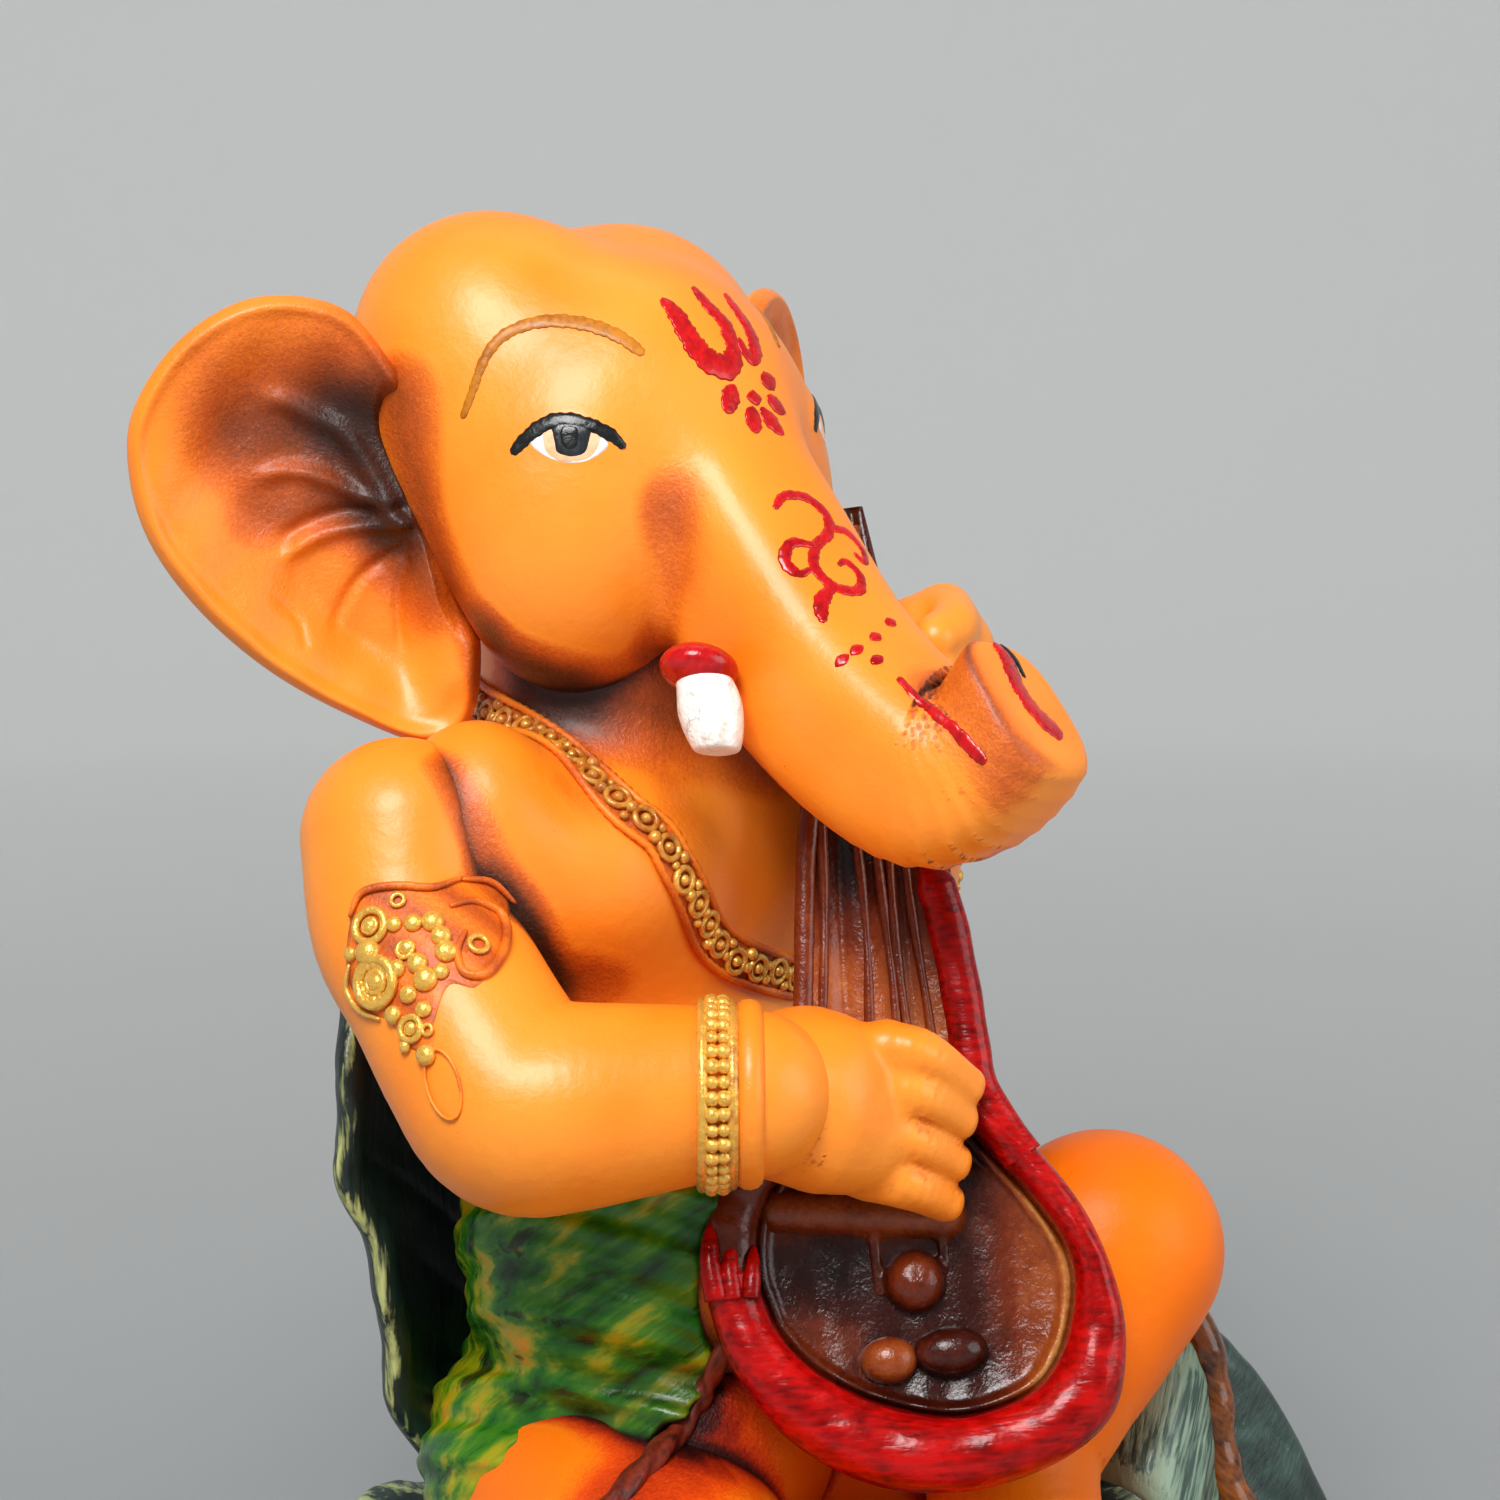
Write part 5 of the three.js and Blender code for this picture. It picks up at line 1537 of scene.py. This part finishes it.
def make_neck():
    """The neck, flat in front with two grooves and round behind, with its paint's shade."""
    FACE_COLUMNS, BACK_COLUMNS = 40, 16
    rows = np.linspace(NECK_START, NECK_END, 100)
    rings, shades = [], []
    for y in rows:
        half = neck_half(y)
        x = np.linspace(-half, half, FACE_COLUMNS)
        ends = np.sqrt(np.clip((half - np.abs(x)) / 1.2, 0, 1))
        face = 0.2 + 0.6 * ends + 0.35 * np.sin(x * 0.7 + y * 0.05)
        for place in (-0.5, 0.3):
            face -= 0.6 * bump(x - place * half, 0.9)
        turn = np.linspace(0, math.pi, BACK_COLUMNS + 2)[1:-1]
        back_x, back_z = half * np.cos(turn), -1 - 8 * np.sin(turn)
        rings.append(np.column_stack([np.concatenate([x, back_x]),
                                      np.full(FACE_COLUMNS + BACK_COLUMNS, y),
                                      np.concatenate([face, back_z])]))
        dark = 0.55 * ease(y, 56, 66) * bump(x + 3, 6)
        light = 0.3 * (1 - ease(y, 46, 60))
        shades.append(np.concatenate([0.56 - dark + light, np.full(BACK_COLUMNS, 0.25)]))
    points, faces = loft(rings)
    return on_lute(points), faces, np.concatenate(shades)


points, faces, shade = make_neck()
make_piece("lute_neck_body", (points, faces), LUTE, "lute_neck", shade=shade)

strings = Cluster()
for n, place in enumerate(STRING_PLACES):
    y = np.linspace(NECK_START + 2, NECK_END - 3, 60)
    x = place * neck_half(y) + 0.35 * np.sin(y * 0.13 + n)
    path = np.column_stack([x, y, np.full(len(y), 0.75) + 0.12 * np.sin(y * 0.4 + n)])
    strings.add(rope(on_lute(path), 0.75 + 0.1 * np.sin(y * 0.31 + n), up=LUTE_OUT), 0.6)
strings.piece("lute_moulded_strings", LUTE, *[f"lute_string_{n + 1}" for n in range(5)])


# A raised border beside the neck. The red one starts at a rounded mark of the brush.
EDGING = {"red": ([(17.5, 21), (13.4, 28), (11.6, 33), (11.2, 38), (10.6, 46), (9.6, 55),
                   (8.4, 61), (7.2, 65)], 3.0),
          "brown": ([(-15, 30), (-12.6, 40), (-10.6, 60), (-9.4, 70), (-4, 100)], 1.5)}


def make_edging(kind):
    STATIONS = 90
    path, wide = EDGING[kind]
    line = resampled(path, STATIONS)
    end = np.linspace(1, 0, STATIONS) * 14
    taper = np.sqrt(np.clip(end / 1.3, 0.02, 1)) * (1 + 0.02 * np.sin(end * 2.3))
    line = on_lute(np.column_stack([line, np.full(STATIONS, 0.8)]))
    return rope(line, wide * taper, columns=16, up=LUTE_OUT, flat=0.75)


make_piece("lute_red_edging", make_edging("red"), RED_RIM, "lute_edging_left")
make_piece("lute_brown_edging", make_edging("brown"), LUTE, "lute_edging_right", shade=0.6)


# ------------------------------------------------------------------ leaves
LEAF_BOTTOM, LEAF_TOP, LEAF_WIDEST, LEAF_HALF, LEAF_CURL = 22, 152, 106, 41, 14
LEAF_GRID = ((150, 200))
LEAF_CREST = [(56, -22, 44), (60, -40, 66), (62.5, -59, 67), (64, -63.5, 57), (63.5, -66, 44),
              (65, -72.5, 32), (68, -84, 23)]


def veined(u, v, veins, lean):
    """Ribs that run out from the midrib of a leaf, as a height from 0 to 1."""
    across = np.abs(2 * u - 1)
    rib = bump(across, 0.035)
    slanted = (v + lean * across) * veins
    branch = bump((slanted - np.round(slanted)) / 0.12, 1) * ease(across, 0.02, 0.1)
    return rib + 0.6 * branch * (1 - 0.5 * across)


def grid_sheet(middle, relief, thickness):
    """A thick leaf between two faces offset from a middle surface (U, V, 3)."""
    along_u = np.gradient(middle, axis=0)
    along_v = np.gradient(middle, axis=1)
    normal = np.cross(along_u, along_v)
    normal = normal / np.maximum(np.linalg.norm(normal, axis=-1, keepdims=True), 1e-9)
    half = thickness[..., None] / 2
    return sheet(middle + normal * (half + relief[..., None]),
                 middle - normal * (half - relief[..., None] * 0.6))


def leaf_edge(u, v, scale_u, scale_v):
    """Distance in from a leaf's outline, mm."""
    return np.minimum(np.minimum(u, 1 - u) * scale_u, np.minimum(v, 1 - v) * scale_v)


def make_back_leaf():
    """The upright leaf behind the figure, curled round it, and how pale its edge and ribs are."""
    u, v = np.meshgrid(np.linspace(0, 1, LEAF_GRID[0]), np.linspace(0, 1, LEAF_GRID[1]),
                       indexing="ij")
    z = LEAF_BOTTOM + (LEAF_TOP - LEAF_BOTTOM) * np.minimum(v, 0.995)
    below = 1 - 0.55 * ((LEAF_WIDEST - z) / (LEAF_WIDEST - LEAF_BOTTOM)) ** 2
    above = np.sqrt(np.clip(1 - ((z - LEAF_WIDEST) / (LEAF_TOP - LEAF_WIDEST)) ** 2, 0, 1))
    half = LEAF_HALF * np.where(z < LEAF_WIDEST, below, above)
    across = 2 * u - 1
    wavy = 1.3 * np.sin(v * 22 + 1) + 0.8 * np.sin(v * 47)
    x = across * (half + wavy * np.abs(across) ** 3)
    y = 23 + 17 * v ** 2 - LEAF_CURL * across ** 2 + 0.9 * np.sin(v * 25) * across ** 4
    middle = np.stack([x, y, z], axis=-1)
    inward = leaf_edge(u, v, 2 * LEAF_HALF, LEAF_TOP - LEAF_BOTTOM)
    thick = 4.6 * np.sqrt(np.clip(inward / 2.3, 0.03, 1))
    points, faces = grid_sheet(middle, 0.8 * veined(u, v, 11, -0.25), thick)
    rim = np.clip(0.62 * bump(inward, 0.9) + 0.1 * veined(u, v, 11, -0.25), 0, 1)
    return points, faces, np.tile(rim.ravel(), 2)


def make_side_leaf():
    """The leaf folded over its stem beside the figure, and how pale it is at each point."""
    INNER, OUTER = (24, 20, vec(-0.9, -0.44, 0)), (27, 38, vec(0.94, -0.34, 0))
    rows = LEAF_GRID[1]
    ridge = even_path(smooth_curve(LEAF_CREST, 40), 0.05)
    ridge = ridge[np.linspace(0, len(ridge) - 1, rows).astype(int)]
    line = np.linspace(0, 1, LEAF_GRID[0])
    u, v = np.meshgrid(line, np.linspace(0, 1, rows), indexing="ij")
    across = np.abs(2 * u - 1)
    slim = 0.35 + 0.65 * np.sin(math.pi * v)
    middle = np.empty(u.shape + (3,))
    for reach, fall, way, chosen in ((*INNER, u < 0.5), (*OUTER, u >= 0.5)):
        spread = ridge[None] + (across * reach * slim)[..., None] * way
        fallen = np.minimum(fall * slim, ridge[None, :, 2] - 4)
        spread[..., 2] = ridge[None, :, 2] - fallen * across ** 1.6
        spread[..., 2] += 0.7 * np.sin(v * 30) * across ** 3
        middle[chosen] = spread[chosen]
    middle[..., 2] = np.maximum(middle[..., 2], 2.2)
    inward = leaf_edge(u, v, 40, 110)
    thick = 3.8 * np.sqrt(np.clip(inward / 2, 0.03, 1))
    points, faces = grid_sheet(middle, 0.7 * veined(u, v, 9, 0.2), thick)
    points[:, 2] = np.maximum(points[:, 2], 0.05)
    pale = np.where(u < 0.5, 0.14, -0.35)
    rim = np.clip(0.8 * bump(inward, 1.2) + pale + 0.2 * veined(u, v, 9, 0.2), -0.4, 1)
    return points, faces, np.tile(rim.ravel(), 2)


def make_seat():
    """The cupped leaf to sit on: a profile swept round, with its lip higher at one side."""
    WIDE, LONG, MIDDLE = 75, 80, vec(9, -34)
    LOW, HIGH, HIGH_SIDE = 23, 32, math.radians(115)
    SIDES_ROUND = 288
    angle = np.arange(SIDES_ROUND) / SIDES_ROUND * 2 * math.pi
    pointed = 1 - 0.14 * np.maximum(0, -np.sin(angle))
    lip = LOW + (HIGH - LOW) * (np.cos(angle - HIGH_SIDE) + 1) / 2
    wavy = 0.018 * np.sin(angle * 7) + 0.008 * np.sin(angle * 17 + 1)
    lip = lip + 1.8 * np.sin(angle * 7 + 0.6) + 0.8 * np.sin(angle * 17)
    profile = [(0.02, 0, 0, 0), (0.8, 0, 0, 0), (0.86, 0, 1.2, 0), (0.9, 0.16, 1, 0),
               (0.94, 0.4, 0, 0.3), (0.975, 0.75, 0, 0.8), (0.992, 0.93, 0, 1),
               (0.985, 1, 0, 1), (0.965, 1, -0.4, 1), (0.94, 0.93, 0, 1), (0.9, 0.6, 6, 0.8),
               (0.86, 0.3, 13, 0.4), (0.8, 0.05, 18.6, 0.2), (0.72, 0, 19.6, 0),
               (0.5, 0, 19.4, 0), (0.25, 0, 19.2, 0), (0.02, 0, 19.2, 0)]
    profile = smooth_curve(profile, 6)
    rings, rims = [], []
    for scale, share, rise, wave in profile:
        size = scale + wavy * wave
        x = MIDDLE[0] + WIDE * pointed * np.cos(angle) * size
        y = MIDDLE[1] + LONG * np.sin(angle) * size
        ribs = 0.5 * bump((angle * 18 / math.pi) % 1 - 0.5, 0.16) * (share > 0.02)
        z = np.maximum(share * lip + rise + ribs, 0.0)
        rings.append(np.stack([x, y, z], axis=-1))
        rims.append(np.full(SIDES_ROUND, 0.5 * bump(share - 1, 0.05)) + 0.15 * ribs)
    points, faces = loft(rings)
    return points, faces, np.concatenate(rims)


for name, (points, faces, rim), material, node_name in (
        ("back_leaf_veined", make_back_leaf(), DARK_LEAF, "back_leaf"),
        ("side_leaf_folded", make_side_leaf(), PALE_LEAF, "side_leaf"),
        ("seat_leaf_cupped", make_seat(), SEAT_LEAF, "seat_leaf")):
    make_piece(name, (points, faces), material, node_name, rim=rim)

stem_line = even_path(smooth_curve(LEAF_CREST[1:], 10), 0.6) + vec(-0.8, -1.2, 2.6)
run = np.linspace(0, 1, len(stem_line))
stem_radius = 3.7 * (0.75 + 0.35 * run) * (1 + 0.06 * np.sin(run * 55)) \
    * np.sqrt(np.clip(np.minimum(run, 1 - run) / 0.03, 0.05, 1))
make_piece("leaf_stem_gloss", rope(stem_line, stem_radius, columns=16), STEM, "leaf_stem")


# ------------------------------------------------------------------ floor and light
def stage_material():
    # Painted shade: the floor is darker near the middle and pale further out.
    s = Surface("floor_with_painted_shade")
    away = node(s.tree, "VectorMath", {"operation": "LENGTH"}, Vector=s.mm).outputs["Value"]
    reach = s.sum((away, 1 / 1600), (s.noise(120), 0.02))
    base = s.ramp(reach, [(0.05, "#8E9192"), (0.6, "#DBDCDA"), (1.0, "#DBDCDC")])
    return s.finish(base, 0.9, specular=0.1)


def make_stage():
    """A round floor that curves up into a wall, open above."""
    FLOOR_RADIUS, CURVE_RADIUS, WALL_TOP = 900.0, 700.0, 2200.0
    COLUMNS, CURVE_STEPS = 96, 24
    bends = np.linspace(0, math.pi / 2, CURVE_STEPS)
    profile = [(0.0, 0.0), (FLOOR_RADIUS * 0.5, 0.0)]
    profile += [(FLOOR_RADIUS + CURVE_RADIUS * math.sin(bend),
                 CURVE_RADIUS * (1 - math.cos(bend))) for bend in bends]
    profile.append((FLOOR_RADIUS + CURVE_RADIUS, WALL_TOP))
    turns = np.arange(COLUMNS) / COLUMNS * 2 * math.pi
    points = [(r * math.cos(t) * MM, r * math.sin(t) * MM, z * MM)
              for r, z in profile[1:] for t in turns]
    faces = [tuple(range(COLUMNS))]
    for ring in range(len(profile) - 2):
        for side in range(COLUMNS):
            after = (side + 1) % COLUMNS
            faces.append((ring * COLUMNS + side, (ring + 1) * COLUMNS + side,
                          (ring + 1) * COLUMNS + after, ring * COLUMNS + after))
    mesh = bpy.data.meshes.new("studio_floor")
    mesh.from_pydata(points, [], faces)
    mesh.polygons.foreach_set("use_smooth", [True] * len(faces))
    mesh.materials.append(stage_material())
    floor = bpy.data.objects.new("studio_floor", mesh)
    bpy.context.collection.objects.link(floor)


def area_light(name, place, aim, size, power):
    data = bpy.data.lights.new(name, "AREA")
    data.shape = "RECTANGLE"
    data.size, data.size_y = size[0] * MM, size[1] * MM
    data.energy = power
    light = bpy.data.objects.new(name, data)
    light.location = world(vec(*place))
    aim_direction = Vector(vec(*place) - vec(*aim))
    light.rotation_euler = aim_direction.to_track_quat("Z", "Y").to_euler()
    bpy.context.collection.objects.link(light)


make_stage()
area_light("window", (-560, -330, 900), (0, -20, 140), (420, 420), 11.5)
area_light("fill", (350, -850, 450), (0, -20, 120), (600, 600), 3.0)
area_light("wall_wash", (350, 350, 1300), (1200, 1200, 350), (900, 500), 3.5)
background = bpy.data.worlds.new("studio")
background.use_nodes = True
background.node_tree.nodes["Background"].inputs[0].default_value = colour("#C2C5C8")
background.node_tree.nodes["Background"].inputs[1].default_value = 0.46
bpy.context.scene.world = background
bpy.context.scene.view_settings.view_transform = "Standard"
